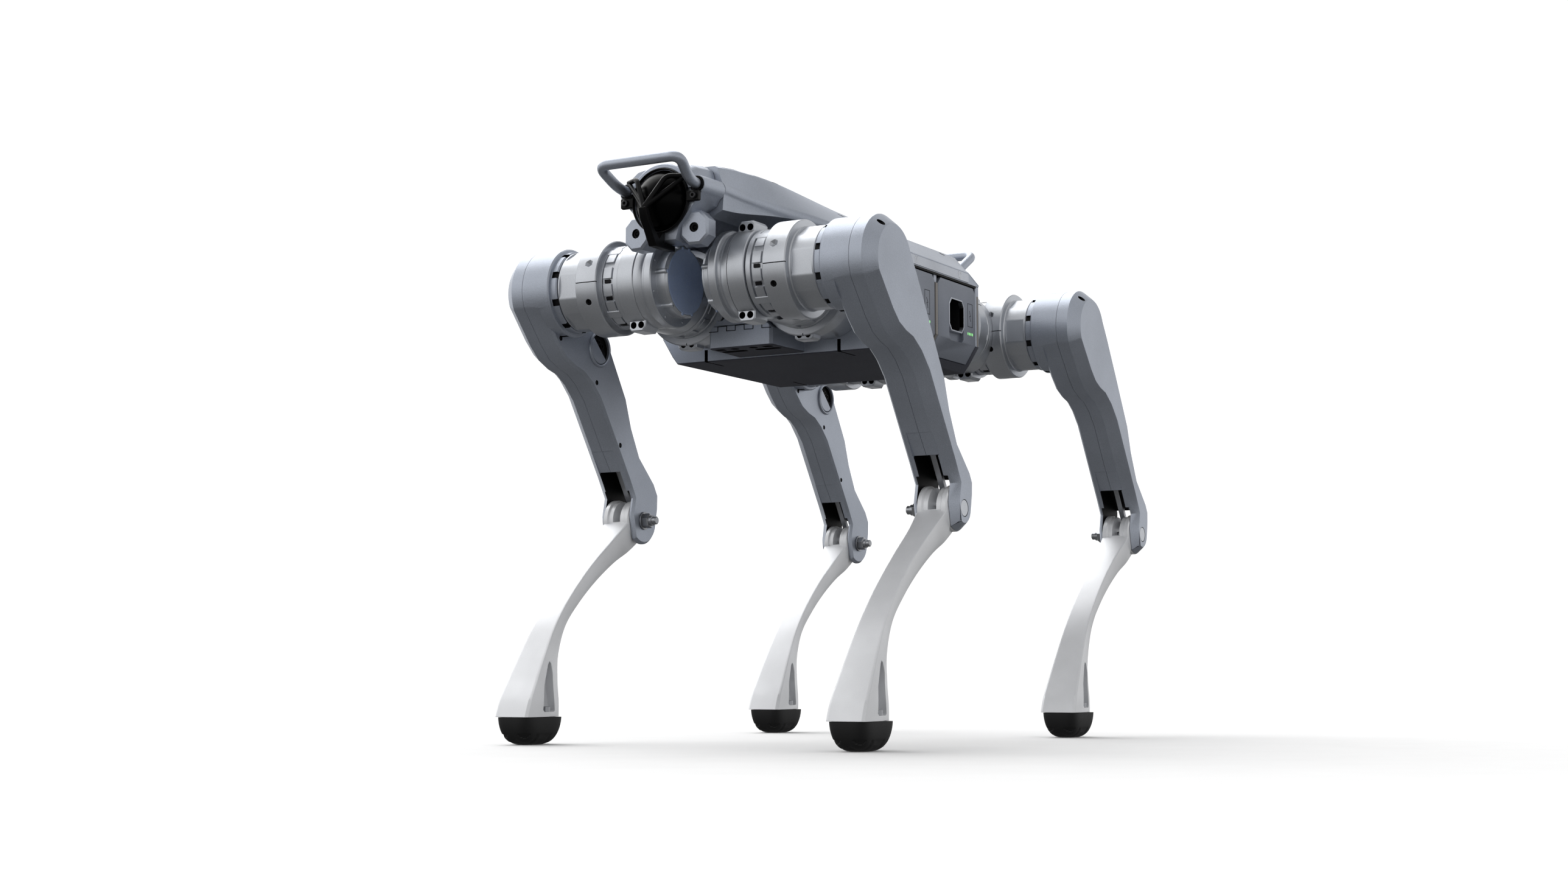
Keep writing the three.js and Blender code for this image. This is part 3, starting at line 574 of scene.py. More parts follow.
def knee_bolt():
    centre = (KNEE[0], 0, KNEE[1])
    face = THIGH_INNER - SEAM_GAP
    washer = rod("y", 9.8, face - 1.4, face, centre, 48, 0.3)
    nut = turned("y", [(7.2, 160.2), (8.2, 160.9), (8.2, face - 2.1), (7.6, face - 1.4)], centre, 6, 15)
    stud = turned("y", [
        (3.6, 152), (4.4, 152.7), (4.4, 156.6), (5.6, 157), (5.6, 160.4),
    ], centre, SMALL_ROUND)
    axle = rod("y", 4, face - 0.5, THIGH_OUTER - 2.5, centre, SMALL_ROUND)
    cap = turned("y", [
        (8.6, THIGH_OUTER - 2.6), (8.6, THIGH_OUTER - 0.8), (8.1, THIGH_OUTER - 0.3),
    ], centre, 48)
    show_leg("knee_nut", gathered(washer, nut, stud, axle), "thigh", [STEEL], ["knee_axle_bolt"])
    show_leg("knee_cap", cap, "thigh", [MOTOR])


# ---- the calf and foot --------------------------------------------------------------------

FLOOR = -HIP_Z
SOLE = FLOOR + 28
TOE = (57, -9.5)
FOOT_HALF = 20.6
HUB = 23.5
GROOVE = 4.6
POCKET_WEB = 8            # half the web left between the two pockets above the foot

# Stations down the calf: the front and back points as x and height, and half the width.
CALF_STATIONS = [
    ((57, 28), (-9.5, 28), 20.6), ((50, 45), (-9.5, 44), 20.2), ((37, 66), (-8.2, 66), 18.5),
    ((20, 93), (-11, 92), 16.2), ((-2, 124.5), (-25, 121), 13.9), ((-30, 155), (-50, 145.5), 12.9),
    ((-66, 186.5), (-80, 168.5), 12.5), ((-103, 214), (-112, 189), 13.6), ((-126, 232), (-137, 202), 16.2),
    ((-140, 243), (-157, 214), 16.4),
]


def calf_section(front, back, half):
    """A six-sided section: a flat wide front with soft corners, and sides that close to the back."""
    front, back = Vector(front), Vector(back)
    across = front - back
    shape = [
        (1, 0.86), (0.965, 1), (0.45, 1), (0.02, 0.62), (0, 0.5),
        (0, -0.5), (0.02, -0.62), (0.45, -1), (0.965, -1), (1, -0.86),
    ]
    points = []
    for forward, side in shape:
        place = back + across * forward
        points.append((place.x, LEG_PLANE + half * side, place.y + FLOOR))
    return points


def calf():
    fronts = smooth_line([s[0] for s in CALF_STATIONS], 6)
    backs = smooth_line([s[1] for s in CALF_STATIONS], 6)
    halves = [p[0] for p in smooth_line([(s[2], 0) for s in CALF_STATIONS], 6)]
    beam = skinned([calf_section(f, b, h) for f, b, h in zip(fronts, backs, halves)])
    centre = (KNEE[0], 0, KNEE[1])
    side = FORK - SEAM_GAP
    hub = turned("y", [
        (22, LEG_PLANE - side), (HUB, LEG_PLANE - side + 1), (HUB, LEG_PLANE - 11), (21.6, LEG_PLANE - 9.6),
        (21.6, LEG_PLANE + 9.6), (HUB, LEG_PLANE + 11), (HUB, LEG_PLANE + side - 1), (22, LEG_PLANE + side),
    ], centre, ROUND)
    x, z = KNEE
    sweep = [(32, 40), (-40, 40), (-40, -40), (-6, -8), (6, 0), (32, -3)]
    slot = prism("y", [(x + a, z + b) for a, b in sweep], LEG_PLANE - GROOVE, LEG_PLANE + GROOVE)
    bore = rod("y", 4.6, 160, 220, centre)
    pocket = [(3, 34.5), (5, 33), (27, 33), (29, 35), (25.5, 60), (17, 81), (14.5, 84), (12, 82)]
    outline = [(a, b + FLOOR) for a, b in pocket]
    pockets = [
        prism("y", outline, LEG_PLANE + POCKET_WEB, LEG_PLANE + 30),
        prism("y", outline, LEG_PLANE - 30, LEG_PLANE - POCKET_WEB),
    ]
    body = cut(joined(beam, hub), slot, bore, *pockets, place=MAIN)
    show_leg("calf_casting", body, "shank", [CALF], ["calf"])
    pin = rod("y", 3, LEG_PLANE - GROOVE - 1, LEG_PLANE + GROOVE + 1, lever_pin(), SMALL_ROUND)
    show_leg("lever_pin", pin, "shank", [STEEL])
    bolts = []
    for way in (1, -1):
        place = (15, LEG_PLANE + way * 13.4, 0)
        bolts.append(rod("z", 4.2, FLOOR + 32.6, FLOOR + 38.4, place, SMALL_ROUND, 0.4))
    show_leg("foot_bolts", gathered(*bolts), "shank", [STEEL])


def lever_pin():
    """The pin on the calf's lever that the push rod turns on."""
    angle = math.atan2(KNEE[1], KNEE[0]) + math.pi + math.radians(71.6)
    return (KNEE[0] + 17 * math.cos(angle), 0, KNEE[1] + 17 * math.sin(angle))


def foot():
    """The rubber foot, lofted in rounded rectangles that close towards the sole, with a tread."""
    middle = ((TOE[0] + TOE[1]) / 2, LEG_PLANE)
    half = ((TOE[0] - TOE[1]) / 2, FOOT_HALF)
    around_count = 144
    levels = 30
    height = 27.6
    rings = []
    for level in range(levels + 1):
        down = level / levels
        depth = height * math.sin(down * math.pi / 2)
        close = math.cos(down * math.pi / 2)
        reach = [h * (0.2 + 0.8 * close ** 0.62) for h in half]
        power = 2 / (5.5 - 2.6 * down)
        ring = []
        for i in range(around_count):
            t = 2 * math.pi * i / around_count
            c, s = math.cos(t), math.sin(t)
            x = reach[0] * math.copysign(abs(c) ** power, c)
            y = reach[1] * math.copysign(abs(s) ** power, s)
            chevron = math.sin((x + abs(y) * 0.7) * 2 * math.pi / 11)
            tread = 0.035 if 0.42 < down < 0.97 and chevron > 0.35 else 0
            ring.append((middle[0] + x * (1 - tread), middle[1] + y * (1 - tread), SOLE - 0.35 - depth))
        rings.append(ring)
    body = skinned(rings)
    show_leg("foot_pad", body, "shank", [RUBBER], ["foot"])


# ---- the trunk ----------------------------------------------------------------------------

SIDE_SECTION = [(118, BELLY_Z), (124.3, 412), (TRUNK_HALF, 432.5), (TRUNK_HALF, 499.6)]
CORE_HALF = 96
BULKHEAD = 8
LAMP_Z = 444.4            # the row of charge lamps on a battery
NUMERAL_Z = 506.7         # mid-height of the numerals on the strip
SLOT_Y = 81               # the L-shaped slots at the belly's corners
BAYS = {"rear": (TRUNK_REAR + BULKHEAD, -8), "front": (-1, TRUNK_FRONT - BULKHEAD)}


def motor_space(start, end):
    return [rod("x", 51.5, start, end, (0, side * ABDUCTION_Y, HIP_Z), ROUND) for side in (1, -1)]


def sweep_space():
    return [rod("x", 62.5, 198, 302, (0, side * ABDUCTION_Y, HIP_Z), ROUND) for side in (1, -1)]


def chassis():
    pan = prism("x", mirrored(SIDE_SECTION[:2]), TRUNK_REAR, TRUNK_FRONT, 1.4)
    core = block((TRUNK_REAR, TRUNK_FRONT), (-CORE_HALF, CORE_HALF), (410, 499.6))
    wall = lambda start: prism("x", mirrored(SIDE_SECTION), start, start + BULKHEAD, 1)
    pillar = prism("x", mirrored([(118, 405), (TRUNK_HALF - 2, 432.5), (TRUNK_HALF - 2, 499)]), -7.8, -1.2)
    tongue = cut(prism("z", [
        (100, -40), (116, -40), (150, -38), (175, -38), (178, -35), (178, 35), (175, 38), (150, 38),
        (116, 40), (100, 40),
    ], 406, 429, 1.2, (True, False)), *motor_space(110, 197), place=MAIN)
    body = joined(pan, core, wall(TRUNK_FRONT - BULKHEAD), wall(TRUNK_REAR), pillar, tongue)
    holes = [rounded_slot((169, y), 4.4, 5.4, 2) for y in (28, -28)]
    holes += [rod("z", 4.6, 400, 414, (169, y, 0)) for y in (11, -11)]
    holes += [rounded_slot((154, y), 5, 15, 4.6) for y in (20, -20)]
    for side in (1, -1):
        for end, way in ((TRUNK_FRONT, 1), (TRUNK_REAR, -1)):
            y = side * SLOT_Y
            upright = block(sorted((end - way * 5, end + way * 2)), (y - 2, y + 2), (400, 417))
            along = block(sorted((end - way * 36, end)), (y - 1.3, y + 1.3), (400, 407))
            holes += [upright, along]
    teeth = [(i, 429 - (5 if i % 2 else 0)) for i in range(-3, 4)]
    body = cut(body, *holes)
    # Faces of the belly that point down get the dark underside colour, as painted shade.
    for face in body.polygons:
        if face.material_index == MAIN and face.normal.z < -0.3:
            face.material_index = DOWNWARD
    show_trunk("belly_tub", body, [SHELL, DARK, SHADED_UNDERSIDE], ["chassis"])
    seam = []
    for i, z in teeth:
        y = i * 10.6
        seam.append(block((177.4, 178.4), (y - 5.3, y + 5.3), (z - 0.35, z + 0.35)))
        if i < 3:
            seam.append(block((177.4, 178.4), (y + 4.95, y + 5.65), (423.7, 429.3)))
    show_trunk("finger_seam", gathered(*seam), [DARK])


def rounded_slot(centre, half_x, half_y, radius):
    """A cutter up into the belly: a rectangle with round corners."""
    corners = [(1, 1, 0), (-1, 1, 90), (-1, -1, 180), (1, -1, 270)]
    outline = []
    for sx, sy, start in corners:
        middle = (centre[0] + sx * (half_x - radius), centre[1] + sy * (half_y - radius))
        outline += arc(middle, radius, start, start + 90, 5)
    return prism("z", outline, 400, 414)


def cross_members():
    for way, name in ((1, "front"), (-1, "rear")):
        x = sorted((118 * way, 177.6 * way))
        body = block(x, (-46, 46), (429.35, 456), 1)
        body = cut(body, *motor_space(110 if way > 0 else -197, 197 if way > 0 else -110), place=MAIN)
        holes = [rod("x", 6.2, x[0] - 1, x[1] + 1, (0, y, 441)) for y in (-24, 24)]
        show_trunk(f"{name}_bridge", cut(body, *holes), [SHELL, DARK], [f"{name}_cross_member"])


def window_outline(middle, grow=0.0):
    outline = [(middle + x, z) for x, z in (
        (18, 450), (12.5, 443.5), (-12.5, 443.5), (-18, 450),
        (-18, 471), (-13, 477.4), (13, 477.4), (18, 471),
    )]
    return inset(outline, -grow) if grow else outline


def side_module(name, side, node):
    """A battery on the left, or the closed cover on the right, in its bay."""
    start, end = BAYS[name]
    start, end = start + SEAM_GAP, end - SEAM_GAP
    section = [(CORE_HALF + 0.5, 413), (124.2, 413), (TRUNK_HALF - 0.4, 433), (TRUNK_HALF - 0.4, 496.6),
               (CORE_HALF + 0.5, 496.6)]
    corner = 7
    outline = [(start, 412), (end, 412), (end, 490), (end - corner, 497), (start + corner, 497), (start, 490)]
    body = cropped(
        prism("x", [(y * side, z) for y, z in section], start, end, 0.8),
        prism("y", outline, *sorted((90 * side, 140 * side))),
    )
    face = sorted((TRUNK_HALF * side - 2 * side, TRUNK_HALF * side + 2 * side))
    if side < 0:
        groove = inset(outline, 9)
        trough = cut(prism("y", groove, *face), prism("y", inset(groove, 1), face[0] - 1, face[1] + 1))
        body = cut(body, trough, place=MAIN)
        show_trunk(f"{name}_side_cover", body, [BATTERY], [node])
        return
    middle = 52 if name == "front" else -54
    pocket = prism("y", window_outline(middle), TRUNK_HALF - 28, TRUNK_HALF + 1)
    lower = prism("y", [
        (middle - 18, 446), (middle + 18, 446), (middle + 18, 436), (middle + 14, 432), (middle - 14, 432),
        (middle - 18, 436),
    ], TRUNK_HALF - 5, TRUNK_HALF + 1)
    body = cut(body, lower, place=MAIN)
    body = cut(body, pocket)
    show_trunk(f"{name}_battery_case", body, [BATTERY, DARK], [node])
    rim = cut(
        prism("y", window_outline(middle, 1.4), TRUNK_HALF - 5, TRUNK_HALF + 0.3, 0.4, (False, True)),
        prism("y", window_outline(middle), TRUNK_HALF - 8, TRUNK_HALF + 2), place=MAIN,
    )
    show_trunk(f"{name}_battery_rim", rim, [STRIP])
    panel_x = middle - 35 if name == "rear" else middle - 34
    corners = [(panel_x - 6, 452.5), (panel_x + 6, 452.5), (panel_x + 6, 478), (panel_x - 6, 478)]
    panel = stroke([*corners, corners[0]], 0.5)
    zigzag = [(1.5, 470), (-1.5, 464.5), (1, 464.5), (-1.5, 459)]
    bolt = stroke([(panel_x + x, z) for x, z in zigzag], 0.5)
    show_trunk(f"{name}_battery_marks", gathered(*panel, *bolt), [DARK])
    lamps = [
        prism("y", circle(0.85, 16, (panel_x - 5.7 + 3.8 * i, LAMP_Z)), TRUNK_HALF - 1, TRUNK_HALF - 0.1, 0.2)
        for i in range(4)
    ]
    to_lamp = Matrix.Translation((0, 0, LAMP_Z))
    for lamp in lamps:
        lamp.transform(to_lamp @ Matrix.Diagonal((1, 1, 2, 1)) @ to_lamp.inverted())
    show_trunk(f"{name}_charge_lamps", gathered(*lamps), [LAMP])


def stroke(points, width, depth=(TRUNK_HALF - 1, TRUNK_HALF - 0.25)):
    """A thin line on the trunk's left side, through points in x and z."""
    pieces = []
    for a, b in zip(points, points[1:]):
        along = (Vector(b) - Vector(a)).normalized()
        side = Vector((-along.y, along.x)) * width / 2
        ends = (Vector(a) - along * width / 2, Vector(b) + along * width / 2)
        outline = [tuple(ends[0] + side), tuple(ends[0] - side), tuple(ends[1] - side), tuple(ends[1] + side)]
        pieces.append(prism("y", outline, *depth))
    return pieces


def top_cover_section(at, top, shoulder, shoulder_z, crease, crease_z, bottom):
    slope = Vector((crease - shoulder, crease_z - shoulder_z))
    soft = Vector((shoulder, shoulder_z)) + slope * 0.06
    bend = min(9.0, max(1.2, (at - TRUNK_FRONT) / 8))
    half = [(0.01, bottom), (crease - bend, bottom), (crease - 0.4 * bend, bottom + 0.3)]
    half += arc((crease - bend, crease_z), bend, -40, 55, 6)
    half += [
        tuple(soft), (shoulder - 2.4, shoulder_z + 0.5 * (top - shoulder_z > 1)),
        (0.5 * shoulder, top - 0.25 * (top - shoulder_z)), (0.01, top),
    ]
    return (at, mirrored(half))


def top_cover():
    """The back: flat between the shoulders, with a raised neck that rises to the head."""
    flat_part = [
        (-215, DECK_Z - 3, 64, DECK_Z - 3, 72, 528, 517), (-190, DECK_Z, 74, DECK_Z, 84, 528, 517),
        (-132, DECK_Z, 94, DECK_Z, 104, 528, 517), (-112, DECK_Z, 106, DECK_Z, TRUNK_HALF, 502, 500),
        (-86, DECK_Z, 106, DECK_Z, TRUNK_HALF, 512, 500),
    ]
    neck = [
        (50, DECK_Z, 106, DECK_Z, TRUNK_HALF, 512, 500), (80, 548, 94, 544, TRUNK_HALF, 513, 500),
        (TRUNK_FRONT, 558, 76, 553, TRUNK_HALF - 2, 514, 500), (150, 566, 62, 562.5, 112, 521, 517),
        (190, 570.5, 54, 568.5, 90, 528, 517), (230, 571.3, 50, 570, 68, 536, 517),
        (262, 571.3, 46, 570, 56, 541, 517), (292, 569.5, 42, 568, 52, 544, 517),
    ]
    curved = []
    columns = list(zip(*neck))
    smooth = [smooth_line(list(zip(columns[0], column)), 5) for column in columns[1:6]]
    lines = [[min(measure, COVER_TOP) for _, measure in line] for line in smooth]
    places = [at for at, _ in smooth[0]]
    for i, at in enumerate(places):
        bottom = 500 if at <= TRUNK_FRONT else 517
        curved.append((at, *[line[i] for line in lines], bottom))
    body = loft("x", [top_cover_section(*s) for s in flat_part + curved])
    spaces = [*motor_space(TRUNK_FRONT + 0.3, 197), *motor_space(-197, TRUNK_REAR - 0.5), *sweep_space()]
    body = cut(body, *spaces, place=MAIN)
    sockets = [rod("z", 6.7, 520, 545, (-198 - 3, side * 65, 0), 32) for side in (1, -1)]
    slots = []
    for x, y, z, turn in ((196, 52, 562, 12), (120, 88, 543, 20), (78, 104, 533, 24), (-70, 112, 534, 8)):
        for side in (1, -1):
            slot = block((-5, 5), (-1.1, 1.1), (-8, 8))
            slots.append(moved(slot, "Z", -turn * side, shift=(x, y * side, z)))
    body = cut(body, *sockets, *slots)
    show_trunk("back_cover", body, [SHELL, DARK], ["top_cover"])

    strip = prism("x", [
        (TRUNK_HALF - 1, 501), (TRUNK_HALF + 0.3, 501.4), (TRUNK_HALF + 0.3, 511), (TRUNK_HALF - 1, 511.6),
    ], -85, 104, 0.3)
    show_trunk("label_strip", strip, [STRIP])
    lip = prism("x", [
        (TRUNK_HALF - 3, 498), (TRUNK_HALF - 0.1, 498), (TRUNK_HALF - 0.1, 500.3), (TRUNK_HALF - 3, 500.3),
    ], TRUNK_REAR + 1, TRUNK_FRONT - 1)
    show_trunk("shadow_gap", gathered(lip, flipped(lip, y=-1)), [DARK])
    trims = []
    inner, outer = TRUNK_HALF - 3, TRUNK_HALF + 0.2
    for x in (-4.5, TRUNK_REAR + 4):
        for outline in (
            [(inner, 433), (outer, 433), (outer, 489), (inner, 491)],
            [(117.6, 410), (121.6, 409), (outer, 433), (inner, 433)],
        ):
            trims.append(prism("x", outline, x - 2.4, x + 2.4, 0.5))
    show_trunk("side_trims", gathered(*trims, *[flipped(t, y=-1) for t in trims]), [TRIM])
    numeral = lambda x, points: stroke([(x + a, z) for a, z in points], 0.7, (TRUNK_HALF, TRUNK_HALF + 0.45))
    one = [(0, 510), (0, 503.6), (1.3, 505.4)]
    two = [(2, 504.4), (0, 503.6), (-1.6, 505.2), (2, 510), (-2, 510)]
    digits = gathered(*numeral(47, one), *numeral(43, one), *numeral(-59, one), *numeral(-63.6, two))
    upside_down = Matrix.Diagonal((1, 1, -1, 1))
    digits.transform(Matrix.Translation((0, 0, 2 * NUMERAL_Z)) @ upside_down)
    digits.flip_normals()
    show_trunk("bay_numerals", digits, [PRINT])


SENSOR = (0, 531)
GUARD_RADIUS = 32.6
FRONT_HANDLE = [(318, 40, 543.5), (341, 41, 545), (368, 47, 563.2)]
REAR_HANDLE = [(-198, 65, 534), (-243.5, 70, 564.8)]
HANDLE_RADIUS = 5.3


def head():
    """The cowl over the sensor, with a brow, between the two tubes that hold the handle."""
    def section(at, top, side, tube, chin, bottom):
        half = [(0.01, bottom), (chin, bottom), (chin + 4, bottom + 14), (side - 4, 527)]
        half += arc((tube - 10.5, 543), 10.5, -62, 96, 9)
        half += [(side - 8, top - 7), (side - 14, top - 2.5), (side - 24, top - 0.6), (0.01, top)]
        return (at, mirrored(half))

    body = loft("x", [
        section(292.6, 569.5, 46, 52, 17, 502), section(303, 569.5, 46, 51, 18, 490),
        section(318, 568, 44, 50, 17, 490), section(326, 565, 42, 49, 16, 492),
    ])
    mouth = rod("x", 30.4, 306, 330, (0, *SENSOR), ROUND)
    below = block((310, 340), (-40, 40), (480, 541))
    brow = cut(rod("x", 37.3, 318, 328.3, (0, *SENSOR), 96, 1.2), below, place=MAIN)
    guard_space = rod("x", GUARD_RADIUS + 0.5, 326.2, 332, (0, *SENSOR), 96)
    body = cut(joined(body, brow), *sweep_space(), guard_space, place=MAIN)
    sockets = handle_bar(FRONT_HANDLE, HANDLE_RADIUS + 1.2)
    show_trunk("head_cowl", cut(body, mouth, sockets), [SHELL, DARK], ["head_shell"])
    sleeve = [(5.5, 325), (5.5, 327.6), (7.4, 327.6), (8, 327), (8, 325)]
    sleeves = [hoop("x", sleeve, (0, side * 40.3, 544), 40) for side in (1, -1)]
    show_trunk("handle_sleeves", gathered(*sleeves), [GUARD])

    dome = turned("x", [
        (29.6, 306.5), (29.6, 322), (29, 326), (27.6, 330), (25.4, 334), (22.3, 337.6), (18.4, 341),
        (13.6, 344), (8.4, 346.2), (3, 347.4), (0.01, 347.5),
    ], (0, *SENSOR), 96)
    show_trunk("sensor_dome", dome, [DOME], ["range_sensor"])


def sensor_guard():
    """A ring, a rib down the front and under the chin, and a frame of bars on each side."""
    ring = hoop("x", [(30.8, 330.6), (31.2, 326.6), (32, 326.5), (32.5, 327.4), (32.5, 330), (31.8, 330.9)],
                (0, *SENSOR), 96)
    rib = prism("y", [
        (308, 489.2), (308, 483.7), (343, 483.7), (352, 498), (359.5, 508), (362, 518.5), (357, 521.5),
        (352.5, 511), (345, 500.5), (337, 492.5), (331, 499.5), (327, 499.5), (327, 489.2),
    ], -4.4, 4.4, 0.9)
    bars = []
    for side in (1, -1):
        hub, shoulder, tip = [
            Vector((x, y * side, z)) for x, y, z in ((358.5, 0, 519), (345, 17, 551), (335, 33, 551))
        ]
        bars.append(bent([hub, shoulder, tip], 2.5, 6, 12))
        bars.append(bent([hub, tip], 2.3, 0, 12))
    ears = [block((326.6, 331), sorted((31 * s, 45 * s)), (526.6, 537.4), 1) for s in (1, -1)]
    show_trunk("guard_cage", gathered(ring, rib, *bars, *ears), [GUARD], ["sensor_guard"])
    bolts = [cut(
        rod("x", 3.4, 330.6, 333.4, (0, s * 39.5, 532), SMALL_ROUND, 0.4),
        rod("x", 1.7, 331.4, 334, (0, s * 39.5, 532), 6),
    ) for s in (1, -1)]
    show_trunk("guard_bolts", gathered(*bolts), [BLACK_SCREW, DARK])


def camera_pods():
    for side, name in ((1, "left"), (-1, "right")):
        corner = 8.5
        high, wide = 16.5, 15
        face = [
            (wide - corner, -high), (wide, corner - high), (wide, high - corner), (wide - corner, high),
            (corner - wide, high), (-wide, high - corner), (-wide, corner - high), (corner - wide, -high),
        ]
        turn = {"turn_axis": "Z", "angle": side * 6, "shift": (309, side * 32.5, 503)}
        pod = moved(cut(prism("x", face, -9, 12, 2.2, (False, True)), rod("x", 4.8, 9, 14)), **turn)
        spaces = [
            rod("x", 30.2, 300, 327, (0, *SENSOR), ROUND),
            rod("x", GUARD_RADIUS + 0.6, 326, 340, (0, *SENSOR), ROUND),
        ]
        pod = cut(pod, *spaces, *sweep_space(), place=MAIN)
        show_trunk(f"{name}_camera_pod", pod, [SHELL, DARK], [f"camera_{name}"])
        rings = hoop("x", [(2.2, 9.4), (2.8, 10.2), (3.8, 10.4), (4.7, 10.2), (4.7, 9)], sides=48)
        lens = turned("x", [(2.4, 9.2), (2.3, 9.7), (1.6, 10.1), (0.01, 10.3)], sides=32)
        show_trunk(f"{name}_lens_mount", moved(rings, **turn), [GUARD])
        show_trunk(f"{name}_lens", moved(lens, **turn), [DOME])


def bent(corners, radius, bend, sides=24):
    """A round bar through the corners, each rounded off by an arc that starts this far from it."""
    steps = 9
    path = [corners[0]]
    for before, here, after in zip(corners, corners[1:], corners[2:]):
        start = here + (before - here).normalized() * bend
        end = here + (after - here).normalized() * bend
        for i in range(steps + 1):
            t = i / steps
            path.append(start * (1 - t) ** 2 + here * 2 * t * (1 - t) + end * t ** 2)
    path.append(corners[-1])
    side = Vector((0, 1, 0.3)) if len(corners) > 3 else Vector((1, 0, 1))
    rings = []
    for i, point in enumerate(path):
        along = (path[min(i + 1, len(path) - 1)] - path[max(i - 1, 0)]).normalized()
        side = side - along * side.dot(along)
        side.normalize()
        other = along.cross(side)
        rings.append([tuple(point + side * a + other * b) for a, b in circle(radius, sides)])
    return skinned(rings)


def handle_bar(half, radius):
    """A carrying handle, from its corners on the left."""
    left = [Vector(corner) for corner in half]
    right = [Vector((x, -y, z)) for x, y, z in reversed(half)]
    return bent(left + right, radius, 12)


def handles():
    show_trunk("front_grab_bar", handle_bar(FRONT_HANDLE, HANDLE_RADIUS), [SHELL], ["front_handle"])
    show_trunk("rear_grab_bar", handle_bar(REAR_HANDLE, HANDLE_RADIUS), [SHELL], ["rear_handle"])


def abduction_motors():
    """Four motors along x, each a can, a wide ring with a slit, and a notched output ring."""
    end = HIP_X - CRADLE_FACE - 0.5
    body = turned("x", [
        (47, 113.5), (47, 149), (50.2, 150.4), (51, 151.4), (51, 169), (50, 170), (43.8, 170.6), (43.8, 174),
        (42.4, 175), (42.4, 188), (43.8, 189), (43.8, end - 1), (42.8, end),
    ])
    slit = lambda: block((150, 171), (-0.45, 0.45), (48.6, 54))
    body = cut(body, *[moved(slit(), "X", angle) for angle in (60, -60, 180)])
    wedge = lambda: prism(
        "x", arc((0, 0), 41, -8, 8, 4) + arc((0, 0), 43.8, 8, -8, 4), 175.6, 187.4, 0.5)
    blocks = [moved(wedge(), "X", angle) for angle in range(0, 360, 24)]
    lug_outline = [(-13, -40), (-11, -53), (-8, -55), (8, -55), (11, -53), (13, -40)]
    lug = cut(
        prism("x", lug_outline, 152, 168, 1),
        *[rod("x", 3, 162, 170, (0, y, -50)) for y in (-5, 5)],
    )
    motor = gathered(body, *blocks, lug)
    for name, x_way, side in (("fl", 1, 1), ("fr", 1, -1), ("rl", -1, 1), ("rr", -1, -1)):
        placed = flipped(motor, x=x_way)
        placed.transform(Matrix.Translation((0, side * ABDUCTION_Y, HIP_Z)))
        show_trunk(f"{name}_abduction_case", placed, [MOTOR, DARK], [f"abduction_motor_{name}"])


# ---- building the robot -------------------------------------------------------------------

knee_motor()
show_leg("hip_clamp", hip_bracket(-1), "hip", [MOTOR, DARK], ["hip_bracket"],
         rear=hip_bracket(1))
thigh_motor()
thigh_inner_shell()
thigh_cover()
knee_bolt()
calf()
foot()
chassis()
cross_members()
side_module("front", 1, "battery_front")
side_module("rear", 1, "battery_rear")
side_module("front", -1, "side_cover_front")
side_module("rear", -1, "side_cover_rear")
top_cover()
head()
sensor_guard()
camera_pods()
handles()
abduction_motors()

for prefix, _, _ in LEGS:
    for node in ("knee_crank", "push_rod"):
        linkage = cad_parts[f"{prefix}_{node}"]
        linkage.data.materials.clear()
        linkage.data.materials.append(STEEL)


# ---- floor, light and camera --------------------------------------------------------------

FLOOR_SIDE = 80
BRIGHT_SIDE = (-0.6, -0.8, 0)         # the direction behind the robot, on its right
AHEAD, BEHIND = 0.85, 1.15            # the strength of the light from each direction
OVERHEAD, BELOW = 0.6, 0.16
SUN_PLACE, SUN_POWER, SUN_SPREAD = (-1.5, -2.5, 3.6), 2.2, 60
SOFTBOX_PLACE, SOFTBOX_POWER, SOFTBOX_SIZE = (2.6, -1.9, 2.2), 12, (3.2, 2.4)
LENS, FILM_WIDTH = 50.46, 36
CAMERA_PLACE, CAMERA_WAY = (2.1274, 1.1558, 0.0753), (-0.8625, -0.4953, 0.1036)


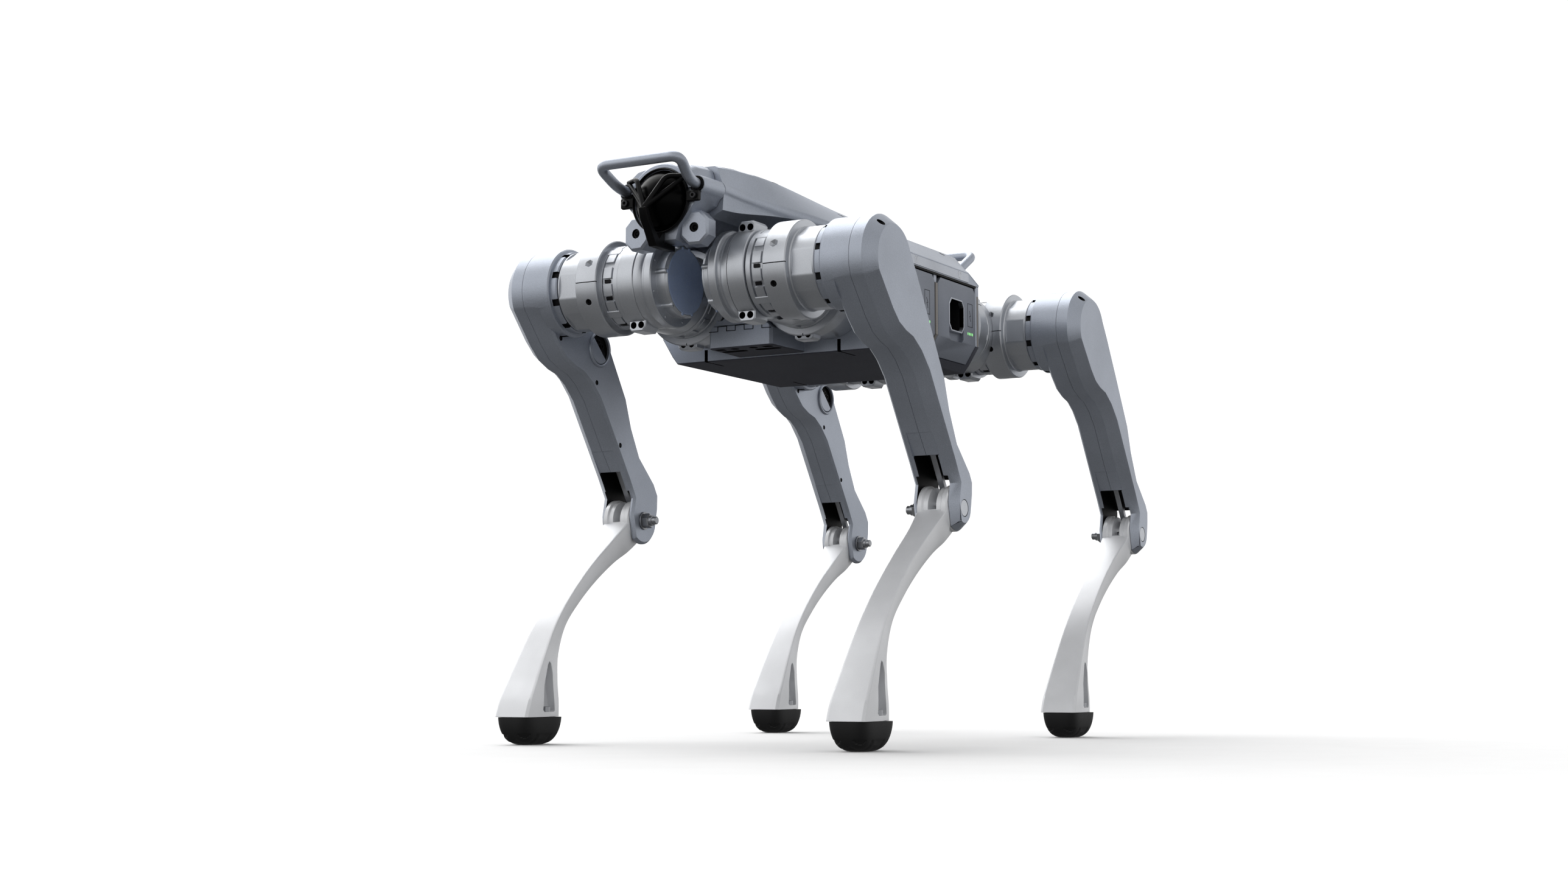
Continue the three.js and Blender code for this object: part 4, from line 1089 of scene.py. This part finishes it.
def studio():
    """A pale floor and a bright studio: brightest behind on the right, dimmer overhead and below."""
    half = FLOOR_SIDE / 2
    corners = [(-half, -half, 0), (half, -half, 0), (half, half, 0), (-half, half, 0)]
    ground = bpy.data.meshes.new("floor")
    ground.from_pydata(corners, [], [(0, 1, 2, 3)])
    floor = bpy.data.objects.new("floor", ground)
    pale = (0.82, 0.82, 0.82)
    ground.materials.append(material("floor_matt", pale, 0.95, relief=0.0, tint=0.01, edge=0, shine=0.1))
    bpy.context.scene.collection.objects.link(floor)
    floor.visible_glossy = False
    floor.visible_diffuse = False

    world = bpy.data.worlds.new("studio")
    world.use_nodes = True
    nodes, links = world.node_tree.nodes, world.node_tree.links
    way = nodes.new("ShaderNodeTexCoord").outputs["Generated"]
    parts = nodes.new("ShaderNodeSeparateXYZ")
    links.new(way, parts.inputs["Vector"])

    def ramp(value, start, end, low, high):
        """Low up to start, high from end on, and smooth between; either may be another ramp."""
        node = nodes.new("ShaderNodeMapRange")
        node.interpolation_type = "SMOOTHSTEP"
        for name, number in (("From Min", start), ("From Max", end)):
            node.inputs[name].default_value = number
        links.new(value, node.inputs["Value"])
        for name, number in (("To Min", low), ("To Max", high)):
            if isinstance(number, float):
                node.inputs[name].default_value = number
            else:
                links.new(number, node.inputs[name])
        return node.outputs["Result"]

    behind = nodes.new("ShaderNodeVectorMath")
    behind.operation = "DOT_PRODUCT"
    behind.inputs[1].default_value = BRIGHT_SIDE
    links.new(way, behind.inputs[0])
    level = ramp(behind.outputs["Value"], -0.1, 0.6, AHEAD, BEHIND)
    raised = ramp(parts.outputs["Z"], 0.3, 0.75, level, OVERHEAD)
    whole = ramp(parts.outputs["Z"], -0.25, 0.0, BELOW, raised)
    nodes["Background"].inputs["Color"].default_value = (1, 1, 1, 1)
    links.new(whole, nodes["Background"].inputs["Strength"])
    bpy.context.scene.world = world

    def lamp(kind, name, place, target, power):
        light = bpy.data.lights.new(name, kind)
        light.energy = power
        stand = bpy.data.objects.new(name, light)
        stand.location = place
        stand.rotation_euler = (Vector(target) - Vector(place)).to_track_quat("-Z", "Y").to_euler()
        bpy.context.scene.collection.objects.link(stand)
        return light

    sun = lamp("SUN", "overhead", SUN_PLACE, (0, 0, 0), SUN_POWER)
    sun.angle = math.radians(SUN_SPREAD)
    front = lamp("AREA", "front_softbox", SOFTBOX_PLACE, (0, 0, 0.25), SOFTBOX_POWER)
    front.shape = "RECTANGLE"
    front.size, front.size_y = SOFTBOX_SIZE


def camera():
    """The view from the front left, low, looking a little upward."""
    lens = bpy.data.cameras.new("camera")
    lens.lens = LENS
    lens.sensor_width = FILM_WIDTH
    shot = bpy.data.objects.new("camera", lens)
    shot.location = CAMERA_PLACE
    shot.rotation_euler = Vector(CAMERA_WAY).to_track_quat("-Z", "Y").to_euler()
    bpy.context.scene.collection.objects.link(shot)
    bpy.context.scene.camera = shot


studio()
camera()
bpy.context.scene.view_settings.view_transform = "Standard"
bpy.context.scene.view_settings.look = "None"
